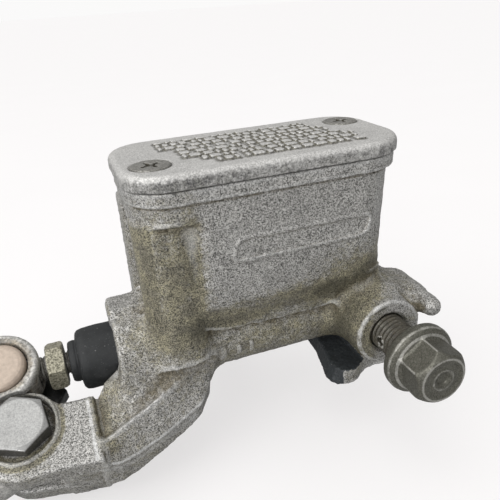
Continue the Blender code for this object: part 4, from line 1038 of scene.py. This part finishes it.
def body_grime_and_shade(x, y, z, normal):
    # grime patches with some painted shade, dirt rings round the pivot, and painted shade on the
    # left wall, the arm's facet and the undersides
    back, rise = tilted(y, z)
    _, ridge, _, _, facet_rise, *_ = stations(x, ARM)
    grime_and_shade = gaussian_patches(x, y, z, STAIN_AND_SHADE_PATCHES) + gaussian_patches(x, back, rise, FORK_STAIN_AND_SHADE_PATCHES)
    # left wall: painted shade and dirt; the arm's facet and the undersides: painted shade
    grime_and_shade += (0.75 * (normal[:, 0] < -0.55) * (x < 10.5) * clip01((36.5 - z) / 1.5) * (z > 12)
              * np.clip((4 - y) / 8, 0.2, 1))
    grime_and_shade += 0.20 * ((back < ridge) * (rise > facet_rise) * (x > -6) * (x < 19))
    grime_and_shade += 0.5 * clip01(-normal[:, 2] * 1.4 - 0.1)
    # rings round the pivot
    radius = dist(x - PIVOT_X, back - PIVOT_BACK)
    grime_and_shade += 1.9 * bell(radius - 8.7, 0.55) * (rise > 1.5)
    grime_and_shade += 0.22 * bell(radius - 10.5, 2.0) * (rise > 1.5) * (x < -18)
    grime_and_shade += 1.8 * bell(radius - 7.0, 0.7) * (rise > 1.0)
    return grime_and_shade


def body_highlight_and_wear(x, y, z, normal):
    """Painted highlights with some edge wear: the arm's ridge, facet and side, the step by the
    fork, the boss's end.
    """
    back, rise = tilted(y, z)
    _, ridge, ridge_rise, facet, facet_rise, *_ = stations(x, ARM)
    highlight_and_wear = (0.72 * bell(dist(back - ridge, rise - ridge_rise), 0.5)
             * (x > -6) * (x < 17) * (rise > 0))
    highlight_and_wear += 0.80 * bell(dist(back - facet, rise - facet_rise), 0.6) * (x > -6) * (x < 18)
    side = clip01((facet_rise - 0.3 - rise) / 1.2) * clip01((rise + 6.2) / 2.0)
    highlight_and_wear += 0.50 * side * (x > -10) * (x < 16) * (back < -20)
    highlight_and_wear += 0.8 * bell(x + 8.6, 0.55) * (rise > 1.6) * (back < -12) * (back > -26)
    radius = dist(x - HOSE_X, z - HOSE_Z)
    highlight_and_wear += 0.55 * (y < -21.7) * (radius > 7.7) * (radius < 9.5)
    return highlight_and_wear


def body_paint(x, y, z, normal):
    """Old black paint on the stop tongue's flat top and its left edge."""
    top = (z > -10.4) & (z < -8.8) & (normal[:, 2] > 0.45) & (x > 49) & (x < 61.5)
    side = ((z > -14.5) & (z < -8.6) & (x > 48) & (x < 55.0)
            & (normal[:, 0] < -0.05) & (normal[:, 2] > -0.7))
    fade = np.where(y < -15.5, clip01((53.6 - x) / 1.8), 1.0)
    return np.where(top, 1.0, np.where(side, fade, 0.0))


piece("body_skin", "body", "body_casting", "cast_aluminium", body_shape,
      box=((-36, -34, -33), (80, 36, 46)), step=0.30, reach=2.2, polish=1,
      grime_and_shade=body_grime_and_shade, paint=body_paint, highlight_and_wear=body_highlight_and_wear)

# ---------------------------------------------------------------- reservoir cap and its screws


def rib_rows(x, y):
    """Rows of short plain dashes of varying length."""
    ribs = np.full(x.shape, 9.0, F32)
    rng = np.random.default_rng(11)
    for row in range(8):
        row_y = CAP_FRONT + 6.0 + row * 2.95
        left = CAP_LEFT + (20.5 if row == 0 else 18.0 if row == 1 else 14.5 if row < 5 else 11.0)
        end = CAP_RIGHT - (9.5 if row < 3 else 11.5 if row < 6 else 14.5)
        while left < end:
            length = 0.8 + 2.0 * rng.random() ** 1.5
            if left + length > end:
                break
            dash = rounded_rect(x, y, left, left + length, row_y - 1.0, row_y + 1.0, 0.35)
            ribs = np.minimum(ribs, dash)
            left += length + (0.62 if rng.random() < 0.8 else 1.5)
    return ribs


def cap_shape(x, y, z):
    top = CAP_TOP - 0.15
    edge = np.where(z > (CAP_BASE + top) / 2, 1.5, 0.3).astype(F32)
    outline = rounded_rect(x, y, CAP_LEFT, CAP_RIGHT, CAP_FRONT, CAP_BACK, 9.5, CORNER_EXTRA)
    solid = extrude(outline, z, CAP_BASE, top, edge)
    i = np.flatnonzero(z > CAP_TOP - 2.0)
    if len(i):
        ribs = extrude(rib_rows(x[i], y[i]), z[i], CAP_TOP - 1.2, CAP_TOP + 0.42, 0.16)
        solid[i] = soft_min(solid[i], ribs, 0.12)
    countersink = [(CAP_BASE - 2, 2.8), (CAP_TOP - 2.25, 2.8), (CAP_TOP - 0.35, 4.62),
                   (CAP_TOP + 2, 4.62)]
    for screw in SCREWS:
        solid = np.maximum(solid, -spun("xy", screw, countersink)(x, y, z))
    recess = block("xy", (8.8, 69.8, -14.7, 13.8, 7.8), CAP_BASE - 1, CAP_BASE + 1.5)
    solid = np.maximum(solid, -recess(x, y, z))
    roughen(solid, x, y, z, 1.0, ((1.1, 0.0, 0.07), (2.7, 4.0, 0.05)))
    return solid


def cap_side_shade_and_rib_gaps(x, y, z, normal):
    """Painted shade on the side, most at the front left, and darkening between the ribs."""
    side = clip01(1 - normal[:, 2] * 1.3)
    ribs = rib_rows(x, y)
    between = (np.exp(-np.clip(ribs, 0, 9) ** 2 / 0.35)
               * (z < CAP_TOP + 0.12) * (z > CAP_TOP - 1.0))
    front = gaussian_patches(x, y, z, [(0.3, (20, -17, 45), (8, 3, 3))])
    return 0.62 * side + front * side + 1.0 * between * (ribs < 2.0)


piece("cap_shell", "body", "reservoir_cap", "cap_aluminium", cap_shape,
      box=(CAP_LO - 1, CAP_HI + 1), step=0.20, reach=0.9, grime_and_shade=cap_side_shade_and_rib_gaps)


def cap_screw(name, screw_x, screw_y, turn):
    """Countersunk screw, its cross recess turned by turn."""
    top = CAP_TOP + 0.02
    cos, sin = math.cos(turn), math.sin(turn)
    profile = [(top - 18, 1.4), (top - 17.4, 1.95), (top - 4.8, 1.95), (top - 4.4, 2.3),
               (top - 2.3, 2.45), (top - 0.5, 4.3), (top - 0.2, 4.3), (top, 4.05)]

    def shape(x, y, z):
        off_x, off_y = x - screw_x, y - screw_y
        radius = dist(off_x, off_y)
        across, along = np.abs(off_x * cos + off_y * sin), np.abs(-off_x * sin + off_y * cos)
        # arms that narrow and get shallower outwards
        taper = 0.5 - 0.06 * radius
        cross = np.minimum(np.maximum(along - taper, across - 2.3),
                           np.maximum(across - taper, along - 2.3))
        recess = np.minimum(cross, radius - 1.0)
        floor = top - 1.9 + radius * 0.55
        return soft_max(turned(z, radius, profile), -np.maximum(recess, floor - z), 0.12)

    piece(name + "_head", "body", name, "steel", shape, step=0.14, reach=0.7,
          box=((screw_x - 5, screw_y - 5, top - 19), (screw_x + 5, screw_y + 5, top + 0.6)))


cap_screw("cap_screw_front_left", *SCREWS[0], turn=0.45)
cap_screw("cap_screw_back_right", *SCREWS[1], turn=0.15)

# ---------------------------------------------------------------- boot, push rod, nut, barrel

BOOT_SEAT_X = 4.3  # end of the boot that stays in the bore
BOOT = [  # x, radius
    (BOOT_SEAT_X, 5.2), (BOOT_SEAT_X, 8.3), (1.2, 8.4), (0.9, 7.75), (-0.4, 7.55), (-7.0, 7.35),
    (-8.1, 7.1), (-8.7, 6.5), (-8.95, 5.4), (-9.3, 5.05), (-10.3, 4.9), (-10.8, 4.6),
    (-10.9, 4.1), (-10.9, 3.4), (-8.1, 3.4), (-7.8, 4.6), (-7.3, 6.0), (0.4, 6.4), (2.2, 6.4),
    (2.6, 5.2)]


def boot_shape(x, y, z):
    radius = dist(y, z)
    solid = ringed(x, radius + lumps(x, y, z, 0.25, 2.0, 0.3), BOOT)
    return soft_max(solid, -(dist(x + 9.15, radius - 5.2) - 0.28), 0.15).astype(F32)


boot = piece("boot_bellows", "body", "dust_boot", "rubber", boot_shape,
             box=((-12, -9.5, -9.5), (5.5, 9.5, 9.5)), step=0.18, reach=0.8)
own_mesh(boot)


def rod_shape(x, y, z):
    radius = dist(y, z)
    rod = turned(x, radius, [(-24.9, 2.1), (-24.4, 2.5), (10.4, 2.5), (12.2, 2.3), (13.4, 1.6),
                             (13.95, 0.6)])
    screwed = soft_max(thread(x, y, z, 3.0, 1.0, 0.5), np.maximum(x + 11.6, -24.6 - x), 0.3)
    collar = turned(x, radius, [(-11.2, 2.8), (-11.0, 2.95), (-8.2, 2.95), (-8.0, 2.8)])
    return np.minimum(np.minimum(rod, np.maximum(screwed, radius - 2.85)), collar)


piece("push_rod_threaded", "barrel", "push_rod", "steel", rod_shape,
      box=((-26, -4, -4), (15, 4, 4)), step=0.13, reach=0.5)


def lock_nut_shape(x, y, z):
    solid = np.maximum(hexagon(z, y, 10.0, math.radians(18)), np.maximum(-15.9 - x, x + 11.9))
    chamfer = turned(x, dist(y, z), [(-16.2, 4.9), (-15.1, 6.0), (-12.7, 6.0), (-11.6, 4.9)])
    solid = soft_max(solid, chamfer, 0.25)
    solid = soft_max(solid, -thread(x, y, z, 3.35, 1.0, 0.3), 0.15)
    return solid + lumps(x, y, z, 1.2, 0.0, 0.10)


piece("lock_nut_hex", "barrel", "lock_nut", "zinc_steel", lock_nut_shape,
      box=((-17, -6.6, -6.6), (-10.8, 6.6, 6.6)), step=0.12, reach=0.6)


def barrel_shape(x, y, z):
    disc = spun("tilted", BARREL, [(-6.0, 5.2), (-5.4, 5.8), (5.1, 5.8), (5.75, 5.55),
                                   (6.15, 5.05), (6.3, 4.3), (6.34, 0.5)])
    return soft_max(disc(x, y, z), -np.maximum(dist(y, z) - 2.95, x), 0.2)


piece("barrel_disc", "barrel", "lever_barrel", "barrel_aluminium", barrel_shape,
      box=((BARREL_X - 7, -9, -9), (BARREL_X + 7, 9, 9)), step=0.15, reach=0.8, polish=1)

# ---------------------------------------------------------------- pivot bolt and nut


def pivot_bolt_shape(x, y, z):
    off_x, off_back, rise = about_pivot(x, y, z)
    radius = dist(off_x, off_back)
    head = np.maximum(hexagon(off_x, off_back, 11.4, math.radians(8)),
                      np.maximum(0.35 - rise, rise - 5.95))
    dome = turned(rise, radius, [(-1.0, 7.3), (5.1, 7.3), (5.5, 6.3), (5.85, 5.3), (5.78, 3.6),
                                 (5.70, 0.5)])
    shank = turned(rise, radius, [(-21.6, 2.5), (-21.0, 2.9), (-11.9, 2.9), (-11.6, 3.95),
                                  (0.6, 3.95)])
    screwed = np.maximum(thread(rise, off_x, off_back, 3.0, 1.0, 0.45),
                         np.maximum(rise + 12.2, -21.4 - rise))
    return np.minimum(np.minimum(soft_max(head, dome, 0.15), shank),
                      np.maximum(screwed, radius - 3.0))


def pivot_bolt_side_shade(x, y, z, normal):
    # painted shade on the head's side facets, below its top
    facing_up = tilted(normal[:, 1], normal[:, 2])[1]
    return 2.2 * (np.abs(facing_up) < 0.6) * clip01((5.6 - tilted(y, z)[1]) / 0.5)


piece("pivot_bolt_head", "body", "pivot_bolt", "bright_steel", pivot_bolt_shape,
      box=around("pivot_bolt", 1.5), step=0.15, reach=0.8, polish=1, grime_and_shade=pivot_bolt_side_shade)


def pivot_nut_shape(x, y, z):
    off_x, off_back, rise = about_pivot(x, y, z)
    radius = dist(off_x, off_back)
    solid = np.maximum(hexagon(off_x, off_back, 10.0, 0.3),
                       np.maximum(-22.4 - rise, rise + 17.7))
    chamfer = turned(rise, radius, [(-22.5, 4.9), (-21.5, 6.0), (-18.4, 6.0), (-17.4, 5.2)])
    return np.maximum(soft_max(solid, chamfer, 0.25), 3.25 - radius)


piece("pivot_nut_hex", "body", "pivot_nut", "zinc_steel", pivot_nut_shape,
      box=around("pivot_nut", 1.5), step=0.18, reach=0.7)

# ---------------------------------------------------------------- lever

BLADE_ROOT, BLADE_TIP = -21.0, -121.0
# x, centre back, half width, centre rise, half height
BLADE = np.array([
    (BLADE_ROOT, -15.2, 6.0, -7.6, 3.8), (-29.0, -17.6, 6.4, -7.6, 3.8),
    (-34.5, -19.8, 5.8, -7.4, 3.8), (-42.0, -22.6, 5.0, -5.4, 5.2),
    (-50.0, -24.3, 4.6, -4.4, 6.0), (-62.0, -25.0, 4.3, -3.8, 6.6),
    (-76.0, -24.2, 4.2, -3.6, 6.8), (-90.0, -22.6, 4.2, -3.6, 6.8),
    (-104.0, -21.2, 4.1, -3.6, 6.6), (-114.0, -21.6, 4.0, -3.6, 6.2),
    (BLADE_TIP, -23.6, 3.9, -3.6, 5.4)])[::-1]
BLADE_X = np.arange(BLADE_TIP, BLADE_ROOT + 0.1, 1.0)
# web from the knuckle to the barrel's eye: x, back
LEVER_WEB = [(-33.6, -16.5), (-22.0, -19.0), (-17.0, -8.8), (-14.9, -6.0), (-13.2, -3.6),
             (-16.5, 1.5), (-22.0, 7.0), (-31.0, 6.0), (-34.2, 0.0)]
# opening for the push rod: x, back
ROD_WINDOW = [(-22.0, -3.3), (-8.0, -3.3), (-8.0, 9.4), (-22.0, 4.8)]


def smoothed(column):
    """A blade column at every BLADE_X, its corners smoothed."""
    values = np.interp(BLADE_X, BLADE[:, 0], column)
    for _ in range(6):
        values[1:-1] = (values[:-2] + 2 * values[1:-1] + values[2:]) / 4
    return values


BLADE_CURVES = [smoothed(column) for column in BLADE.T[1:]]
BLADE_SLOPE = np.gradient(BLADE_CURVES[0], BLADE_X)


def blade(x, y, z):
    """Bar of rounded section that follows the blade's curves."""
    back, rise = tilted(y, z)
    mid_back, half_width, mid_rise, half_height = (
        np.interp(x, BLADE_X, curve).astype(F32) for curve in BLADE_CURVES)
    cos = np.cos(np.arctan(np.interp(x, BLADE_X, BLADE_SLOPE))).astype(F32)
    corner = np.minimum(half_width, half_height) * F32(0.86)
    section = round_corner(np.abs((back - mid_back) * cos) - half_width + corner,
                           np.abs(rise - mid_rise) - half_height + corner, corner)
    return soft_max(section, np.maximum(x - BLADE_ROOT, BLADE_TIP - x), 0.6) * F32(0.95)


def ball_end(x, y, z):
    back, rise = tilted(y, z)
    return (dist(x + 124.5, back + 25.2, rise + 3.6) - 7.0).astype(F32)


def room_below(x, y, z):
    off_x, off_back, rise = about_pivot(x, y, z)
    return extrude((dist(off_x, off_back) - 12.5).astype(F32), rise, -30.0, -11.4)


def lever_shape(x, y, z):
    lever = Field(x, y, z)
    lever.add((-122, -30, -30, -21, 8, 8), blade)
    lever.add((-33, -26, -24, -13, 2, 2), spun("tilted", PIVOT, [(-11.4, 8.3), (-3.6, 8.3)]), 1.5)
    lever.add((-36, -20, -22, -12, 14, 10), prism("tilted", LEVER_WEB, -11.0, -6.3, 0.5), 2.0)
    lever.add((-36, -12, -16, -16, 14, 12), spun("tilted", BARREL, [
        (-10.6, 7.6), (-9.8, 8.4), (4.7, 8.6), (5.3, 8.35), (5.6, 7.9)]), 1.6)
    lever.add((-132, -32, -22, -117, -12, -2), ball_end, 1.6)
    # barrel seat, pivot hole and rod window
    lever.cut((-36, -14, -18, -18, 14, 14), spun("tilted", BARREL, [
        (-30, 6.1), (4.6, 6.1), (5.3, 6.35), (30, 6.6)]), 0.2)
    lever.cut((-31, -26, -26, -15, 4, 4), spun("tilted", PIVOT, [(-30, 5.3), (30, 5.3)]))
    lever.cut((-23, -8, -8, -8, 12, 10), prism("tilted", ROD_WINDOW, -3.4, 3.4, 0.6), 0.3)
    # room for the upper ear, the bolt head and the lower ear
    lever.cut((-34, -24, -16, -12, 4, 6), spun("tilted", PIVOT, [(-3.6, 8.6), (3.55, 8.6)]))
    lever.cut((-34, -24, -8, -14, 0, 12), spun("tilted", PIVOT, [(3.1, 7.3), (9.0, 7.3)]))
    lever.cut((-36, -28, -34, -10, 8, 0), room_below)
    roughen(lever.solid, x, y, z, 1.2, ((0.9, 3.0, 0.08), (2.2, 6.0, 0.05)))
    return lever.solid


def lever_grime_and_shade(x, y, z, normal):
    # a dark ring of dirt round the barrel's top, and painted shade on the lever round the barrel
    # below the boss's top
    back, rise = tilted(y, z)
    radius = dist(x - BARREL_X, back)
    return 1.0 * bell(radius - 6.6, 0.9) * (rise > 4.5) + 0.75 * ((rise < 4.0) * (radius < 9.5))


def lever_dark_patch(x, y, z, normal):
    # near-black colour on the lever's low part beside the rod
    back, rise = tilted(y, z)
    return np.where((x > -21.0) & (rise < -4.0) & (back > -13.5), 0.95, 0.0)


piece("lever_blade", "lever", "brake_lever", "lever_aluminium", lever_shape,
      box=around("brake_lever", 1.5), step=0.30, reach=1.6, polish=1,
      grime_and_shade=lever_grime_and_shade, paint=lever_dark_patch)

# ---------------------------------------------------------------- hose bolt

HEX_LENGTH = 7.7
FLANGE_Y = HOSE_FRONT + HEX_LENGTH  # where the hexagon meets the flange


def hose_turned(y, radius, profile):
    """Turned shape whose profile is given from the flange's front."""
    return turned(y, radius, [(FLANGE_Y + offset, rad) for offset, rad in profile])


def hose_bolt_shape(x, y, z):
    off_x, off_z = x - HOSE_X, z - HOSE_Z
    radius = dist(off_x, off_z)
    flange = hose_turned(y, radius, [(-1.2, 5.9), (-0.75, 7.0), (-0.25, 7.9), (0.15, 8.4),
                                     (0.7, 8.6), (2.1, 8.55), (2.5, 8.25)])
    head = np.maximum(hexagon(off_z, off_x, 12.0, math.radians(22)),
                      np.maximum(FLANGE_Y - HEX_LENGTH - y, y - FLANGE_Y))
    cone = hose_turned(y, radius, [(-7.75, 5.35), (-7.0, 6.15), (-6.2, 6.75), (1.0, 9.0)])
    solid = soft_min(soft_max(head, cone, 0.2), flange, 0.5)
    # shallow ringed dish in the end face
    dish = hose_turned(y, radius, [(-9.0, 4.4), (-7.7, 4.4), (-7.45, 4.1), (-7.4, 0.5)])
    solid = soft_max(solid, -dish, 0.25)
    ring = [(FLANGE_Y - 7.2, 1.9), (FLANGE_Y - 7.2, 2.9), (FLANGE_Y - 7.55, 2.7),
            (FLANGE_Y - 7.55, 2.2)]
    solid = soft_min(solid, ringed(y, radius, ring), 0.25)
    pit = hose_turned(y, radius, [(-9.0, 1.9), (-7.4, 1.8), (-6.9, 1.2), (-6.8, 0.3)])
    solid = soft_max(solid, -pit, 0.25)
    neck = turned(y, radius, [(FLANGE_Y + 1.0, 4.3), (-14.6, 4.3), (-13.6, 3.7)])
    solid = soft_min(solid, neck, 0.5)
    screwed = np.maximum(thread(y, off_z, off_x, 4.7, 1.25, 0.62),
                         np.maximum(FLANGE_Y + 4.2 - y, y + 14.2))
    solid = np.minimum(solid, np.maximum(screwed, radius - 4.62))
    # passage up the middle and a hole across it
    solid = np.maximum(solid, -np.maximum(radius - 1.6, -26.0 - y))
    solid = np.maximum(solid, -np.maximum(dist(y + 25.0, off_z) - 1.2, np.abs(off_x) - 6))
    return solid.astype(F32) + lumps(x, y, z, 0.9, 8.0, 0.04)


def hose_bolt_highlight_and_wear(x, y, z, normal):
    """Painted highlights with some wear: corners of the hexagon, rim of the flange and rings on the
    end face.
    """
    radius = dist(x - HOSE_X, z - HOSE_Z)
    highlight_and_wear = 0.72 * clip01((radius - 6.66) / 0.20) * (y < FLANGE_Y - 0.4) * (radius < 7.4)
    highlight_and_wear += 0.85 * (normal[:, 1] < -0.2) * bell(radius - 5.25, 0.34) * (y < FLANGE_Y - 6.9)
    highlight_and_wear += 0.60 * bell(radius - 8.45, 0.20) * (y > FLANGE_Y - 0.2) * (y < FLANGE_Y + 0.8)
    highlight_and_wear += 0.55 * bell(radius - 2.5, 0.32) * (y < FLANGE_Y - 7.0)
    return highlight_and_wear


def hose_bolt_grime(x, y, z, normal):
    neck = (dist(x - HOSE_X, z - HOSE_Z) < 5.2) * (y > HOSE_FRONT + 8.5)
    return 0.8 * neck + 0.15 * (y < HOSE_FRONT + 8.5)


piece("hose_bolt", "body", "banjo_bolt", "dark_steel", hose_bolt_shape,
      box=((HOSE_X - 10, HOSE_FRONT - 1, HOSE_Z - 10), (HOSE_X + 10, HOSE_BACK + 1.5, HOSE_Z + 10)),
      step=0.14, reach=0.7, grime_and_shade=hose_bolt_grime, highlight_and_wear=hose_bolt_highlight_and_wear)

# ---------------------------------------------------------------- handlebar clamp

PLATE_BACK = CLAMP_SPLIT_Y + 6.0  # back of the flat plate, where the washers sit


def clamp_shape(x, y, z):
    radius = dist(y - BAR_Y, z - BAR_Z)
    half = CLAMP_BOLT_RISE + 5.2
    plate = extrude(rounded_rect(y, z, CLAMP_SPLIT_Y, PLATE_BACK, BAR_Z - half, BAR_Z + half, 1.2),
                    x, CLAMP_LEFT, CLAMP_RIGHT, 0.8)
    arc = extrude((radius - 15.3).astype(F32), x, CLAMP_LEFT, CLAMP_RIGHT, 0.8)
    # square inner edge on the split face
    solid = soft_max(soft_min(plate, arc, 2.4), CLAMP_SPLIT_Y - y, 0.1)
    solid = np.maximum(solid, BAR_BORE - radius)
    for side in (-1, 1):
        to_bolt = dist(x - CLAMP_BOLT_X, z - BAR_Z - side * CLAMP_BOLT_RISE)
        solid = np.maximum(solid, 3.3 - to_bolt)
        # flat seat under the washer
        seat = turned(y, to_bolt, [(PLATE_BACK, 5.9), (CLAMP_SPLIT_Y + 20, 5.9)])
        solid = soft_max(solid, -seat, 0.2)
    roughen(solid, x, y, z, 1.0, ((1.35, 0.0, 0.14),))
    return solid.astype(F32)


piece("clamp_half", "body", "clamp_cap", "cast_aluminium", clamp_shape,
      box=around("clamp_cap", 1.5), step=0.30, reach=1.5)


def spring_washer(name, bolt_z):
    """Split spring washer."""
    node = "clamp_washer_" + name
    front, back = (corner[1] for corner in mm_box(node))

    def shape(x, y, z):
        off_x = x - CLAMP_BOLT_X
        gap = np.maximum(np.abs(off_x * 0.9 + (y - front) * 0.5) - 0.35, -(z - bolt_z))
        ring = ringed(y, dist(off_x, z - bolt_z), [
            (front, 3.35), (front, 5.1), (front + 0.15, 5.2), (back - 0.15, 5.2), (back, 5.1),
            (back, 3.35)])
        return soft_max(ring, -gap, 0.1).astype(F32)

    piece("spring_washer_" + name, "body", node, "steel", shape,
          box=around(node, 1.2), step=0.16, reach=0.6)


def clamp_bolt(name, bolt_z):
    """Hexagon bolt with a dished head, pointing forwards."""
    node = "clamp_bolt_" + name
    tip, end = (corner[1] for corner in mm_box(node))
    head_y = end - 5.0

    def shape(x, y, z):
        off_x, off_z = x - CLAMP_BOLT_X, z - bolt_z
        radius = dist(off_x, off_z)
        head = np.maximum(hexagon(off_x, off_z, 10.0, 0.3 + math.pi / 6),
                          np.maximum(head_y - y, y - head_y - 5.0))
        chamfer = [(head_y - 0.1, 6.0), (head_y + 3.9, 6.0), (head_y + 5.0, 4.7)]
        head = soft_max(head, turned(y, radius, chamfer), 0.2)
        dish = [(head_y + 4.4, 2.6), (head_y + 4.6, 3.2), (head_y + 9, 3.4)]
        head = soft_max(head, -turned(y, radius, dish), 0.2)
        shank = turned(y, radius, [(tip, 1.7), (tip + 0.8, 2.25), (CLAMP_SPLIT_Y + 0.2, 2.25),
                                   (CLAMP_SPLIT_Y + 0.5, 2.85), (head_y + 0.8, 2.85)])
        screwed = np.maximum(thread(y, off_x, off_z, 2.5, 1.0, 0.4),
                             np.maximum(tip + 0.6 - y, y - BAR_Y + 0.9))
        return np.minimum(np.minimum(head, shank), np.maximum(screwed, radius - 2.42))

    piece("clamp_screw_" + name, "body", node, "steel", shape,
          box=around(node, 1.2), step=0.18, reach=0.7)


for _side, _name in ((-1, "lower"), (1, "upper")):
    spring_washer(_name, BAR_Z + _side * CLAMP_BOLT_RISE)
    clamp_bolt(_name, BAR_Z + _side * CLAMP_BOLT_RISE)

# ---------------------------------------------------------------- return spring


def return_spring():
    """Coil that widens by 1 mm to the right."""
    lo, hi = mm_box("return_spring")
    left, right = lo[0] + 0.56, hi[0] - 0.56
    turns, per_turn, sides, wire = 6.0, 40, 12, 0.55
    last = int(turns * per_turn)
    points = []
    for k in range(last + 1):
        share = k / last
        x = left + (right - left) * (share - 0.045 * math.sin(2 * math.pi * share))
        radius, turn = 4.3 + share, 2 * math.pi * turns * share
        middle = np.array([x, radius * math.cos(turn), radius * math.sin(turn)])
        outward = np.array([0, math.cos(turn), math.sin(turn)])
        tangent = np.array([(right - left) / (2 * math.pi * turns), -radius * math.sin(turn),
                            radius * math.cos(turn)])
        tangent /= np.linalg.norm(tangent)
        sideways = np.cross(tangent, outward)
        for i in range(sides):
            angle = 2 * math.pi * i / sides
            points.append(middle + outward * wire * math.cos(angle)
                          + sideways * wire * math.sin(angle))
    quads = []
    for start in range(0, last * sides, sides):
        for i in range(sides):
            j = (i + 1) % sides
            quads.append([start + i, start + j, start + sides + j, start + sides + i])
    points.append(np.mean(points[:sides], 0))
    points.append(np.mean(points[last * sides:last * sides + sides], 0))
    mesh = to_mesh("spring_coil", np.array(points), np.array(quads))
    # close both ends of the wire with fans
    bm = bmesh.new()
    bm.from_mesh(mesh)
    bm.verts.ensure_lookup_table()
    for start, middle in ((0, len(points) - 2), (last * sides, len(points) - 1)):
        for i in range(sides):
            fan = (start + i, start + (i + 1) % sides, middle)
            bm.faces.new([bm.verts[index] for index in fan])
    bmesh.ops.recalc_face_normals(bm, faces=bm.faces)
    for face in bm.faces:
        face.smooth = True
    bm.to_mesh(mesh)
    bm.free()
    obj = add_object("spring_coil", mesh)
    enter_frame(obj, "body", "return_spring", "steel")
    bore_point_m(hi[0])
    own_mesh(obj)


return_spring()

# ---------------------------------------------------------------- stage (metres)

scene = bpy.context.scene
FLOOR_Z = min(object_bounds()[0].z, cad_lo.z) - 0.0001


def floor_material():
    n = Nodes("pale_floor")
    cloudy = n.noise(scale=0.02)
    pale = n.mix(cloudy, (0.86, 0.845, 0.845), (0.90, 0.89, 0.89))
    rays = n.new("LightPath")
    seen = rays.outputs["Is Camera Ray"]
    # greyer to all light but the camera's
    n.done(n.mix(seen, (0.42, 0.42, 0.42), pale), rough=0.65, metallic=0.0,
           normal=n.bump(cloudy, strength=0.02, distance=0.0001), specular=0.1)
    # painted light: the floor glows a little for the camera, which keeps the shadows pale, and
    # glows less towards the camera, which paints the near floor darker
    glow = n.new("Emission")
    glow.inputs["Color"].default_value = (1.0, 0.985, 0.985, 1)
    glow.inputs["Strength"].default_value = 1.02
    blend = n.new("MixShader")
    geometry = n.new("NewGeometry")
    split = n.new("SeparateXYZ")
    n.link(geometry.outputs["Position"], split.inputs[0])
    towards_back = n.remap(split.outputs["Y"], span=(-0.13, 0.03), to=(0.46, 0.68))
    n.put(blend.inputs[0], n.times(seen, towards_back))
    n.link(n.shader.outputs[0], blend.inputs[1])
    n.link(glow.outputs[0], blend.inputs[2])
    n.link(blend.outputs[0], n.out.inputs[0])
    return n.material


def make_floor():
    """Square floor whose grid is finest in the middle."""
    cells, half_mm = 60, 15000.0
    steps = [2 * i / cells - 1 for i in range(cells + 1)]
    points = [(half_mm * u * abs(u), half_mm * v * abs(v), FLOOR_Z * 1000)
              for v in steps for u in steps]
    quads = []
    for j in range(cells):
        for i in range(cells):
            corner = j * (cells + 1) + i
            quads.append((corner, corner + 1, corner + cells + 2, corner + cells + 1))
    mesh = to_mesh("floor", np.array(points), np.array(quads), origin=0.0)
    obj = add_object("floor", mesh)
    mesh.materials.append(floor_material())


def make_world():
    """Sky as pale as the floor where it is seen; the light it gives is softer."""
    world = bpy.data.worlds.new("soft_white")
    world.use_nodes = True
    nodes, link = world.node_tree.nodes, world.node_tree.links.new
    background = nodes["Background"]
    background.inputs[0].default_value = (1.0, 0.995, 0.99, 1)
    rays = nodes.new("ShaderNodeLightPath")
    coords = nodes.new("ShaderNodeTexCoord")
    facing = nodes.new("ShaderNodeVectorMath")
    facing.operation = "DOT_PRODUCT"
    facing.inputs[1].default_value = (-0.30, -0.02, 0.95)  # brightest direction
    link(coords.outputs["Generated"], facing.inputs[0])
    fade = nodes.new("ShaderNodeMapRange")
    fade.interpolation_type = "SMOOTHSTEP"
    fade.inputs["From Min"].default_value = -0.25
    fade.inputs["From Max"].default_value = 0.85
    fade.inputs["To Min"].default_value = 0.19
    fade.inputs["To Max"].default_value = 0.76
    link(facing.outputs["Value"], fade.inputs["Value"])
    strength = nodes.new("ShaderNodeMix")
    strength.data_type = "FLOAT"
    link(rays.outputs["Is Camera Ray"], strength.inputs[0])
    link(fade.outputs[0], strength.inputs[2])
    strength.inputs[3].default_value = 0.96  # as the camera sees it
    link(strength.outputs[0], background.inputs[1])
    scene.world = world


def aim(obj, direction):
    obj.rotation_euler = Vector(direction).to_track_quat("-Z", "Y").to_euler()


def sun_light():
    sun = bpy.data.lights.new("broad_key", "SUN")
    sun.energy = 1.0
    sun.angle = math.radians(55)
    sun.color = (1.0, 0.995, 0.985)
    aim(add_object("broad_key", sun), (0.42, 0.12, -0.90))


def area_light(name, location, size, power, colour):
    light = bpy.data.lights.new(name, "AREA")
    light.shape = "RECTANGLE"
    light.size, light.size_y = size
    light.energy = power
    light.color = colour
    obj = add_object(name, light)
    obj.location = location
    aim(obj, Vector((-0.01, -0.03, -0.01)) - Vector(location))


def make_camera():
    yaw, pitch, roll = math.radians(18.99), math.radians(25.06), math.radians(-3.67)
    place = (-0.03444, -0.14706, 0.05472)
    forward = Vector((math.sin(yaw) * math.cos(pitch), math.cos(yaw) * math.cos(pitch),
                      -math.sin(pitch)))
    level = Vector((math.cos(yaw), -math.sin(yaw), 0))
    upright = level.cross(forward)
    right = level * math.cos(roll) + upright * math.sin(roll)
    top = -level * math.sin(roll) + upright * math.cos(roll)
    camera = bpy.data.cameras.new("camera")
    camera.sensor_width = 36
    camera.lens = 38.34
    camera.clip_start = 0.01
    obj = add_object("camera", camera)
    obj.matrix_world = Matrix((*zip(right, top, -forward, place), (0, 0, 0, 1)))
    scene.camera = obj


make_floor()
make_world()
sun_light()
area_light("fill_front", location=(-0.36, -0.75, 0.33), size=(0.5, 0.35), power=2.4,
           colour=(0.99, 0.99, 1.0))
area_light("card_left", location=(-0.55, -0.25, 0.10), size=(0.25, 0.5), power=1.1,
           colour=(1.0, 1.0, 1.0))
scene.view_settings.view_transform = "Standard"
scene.view_settings.look = "None"
make_camera()

bpy.context.view_layer.update()
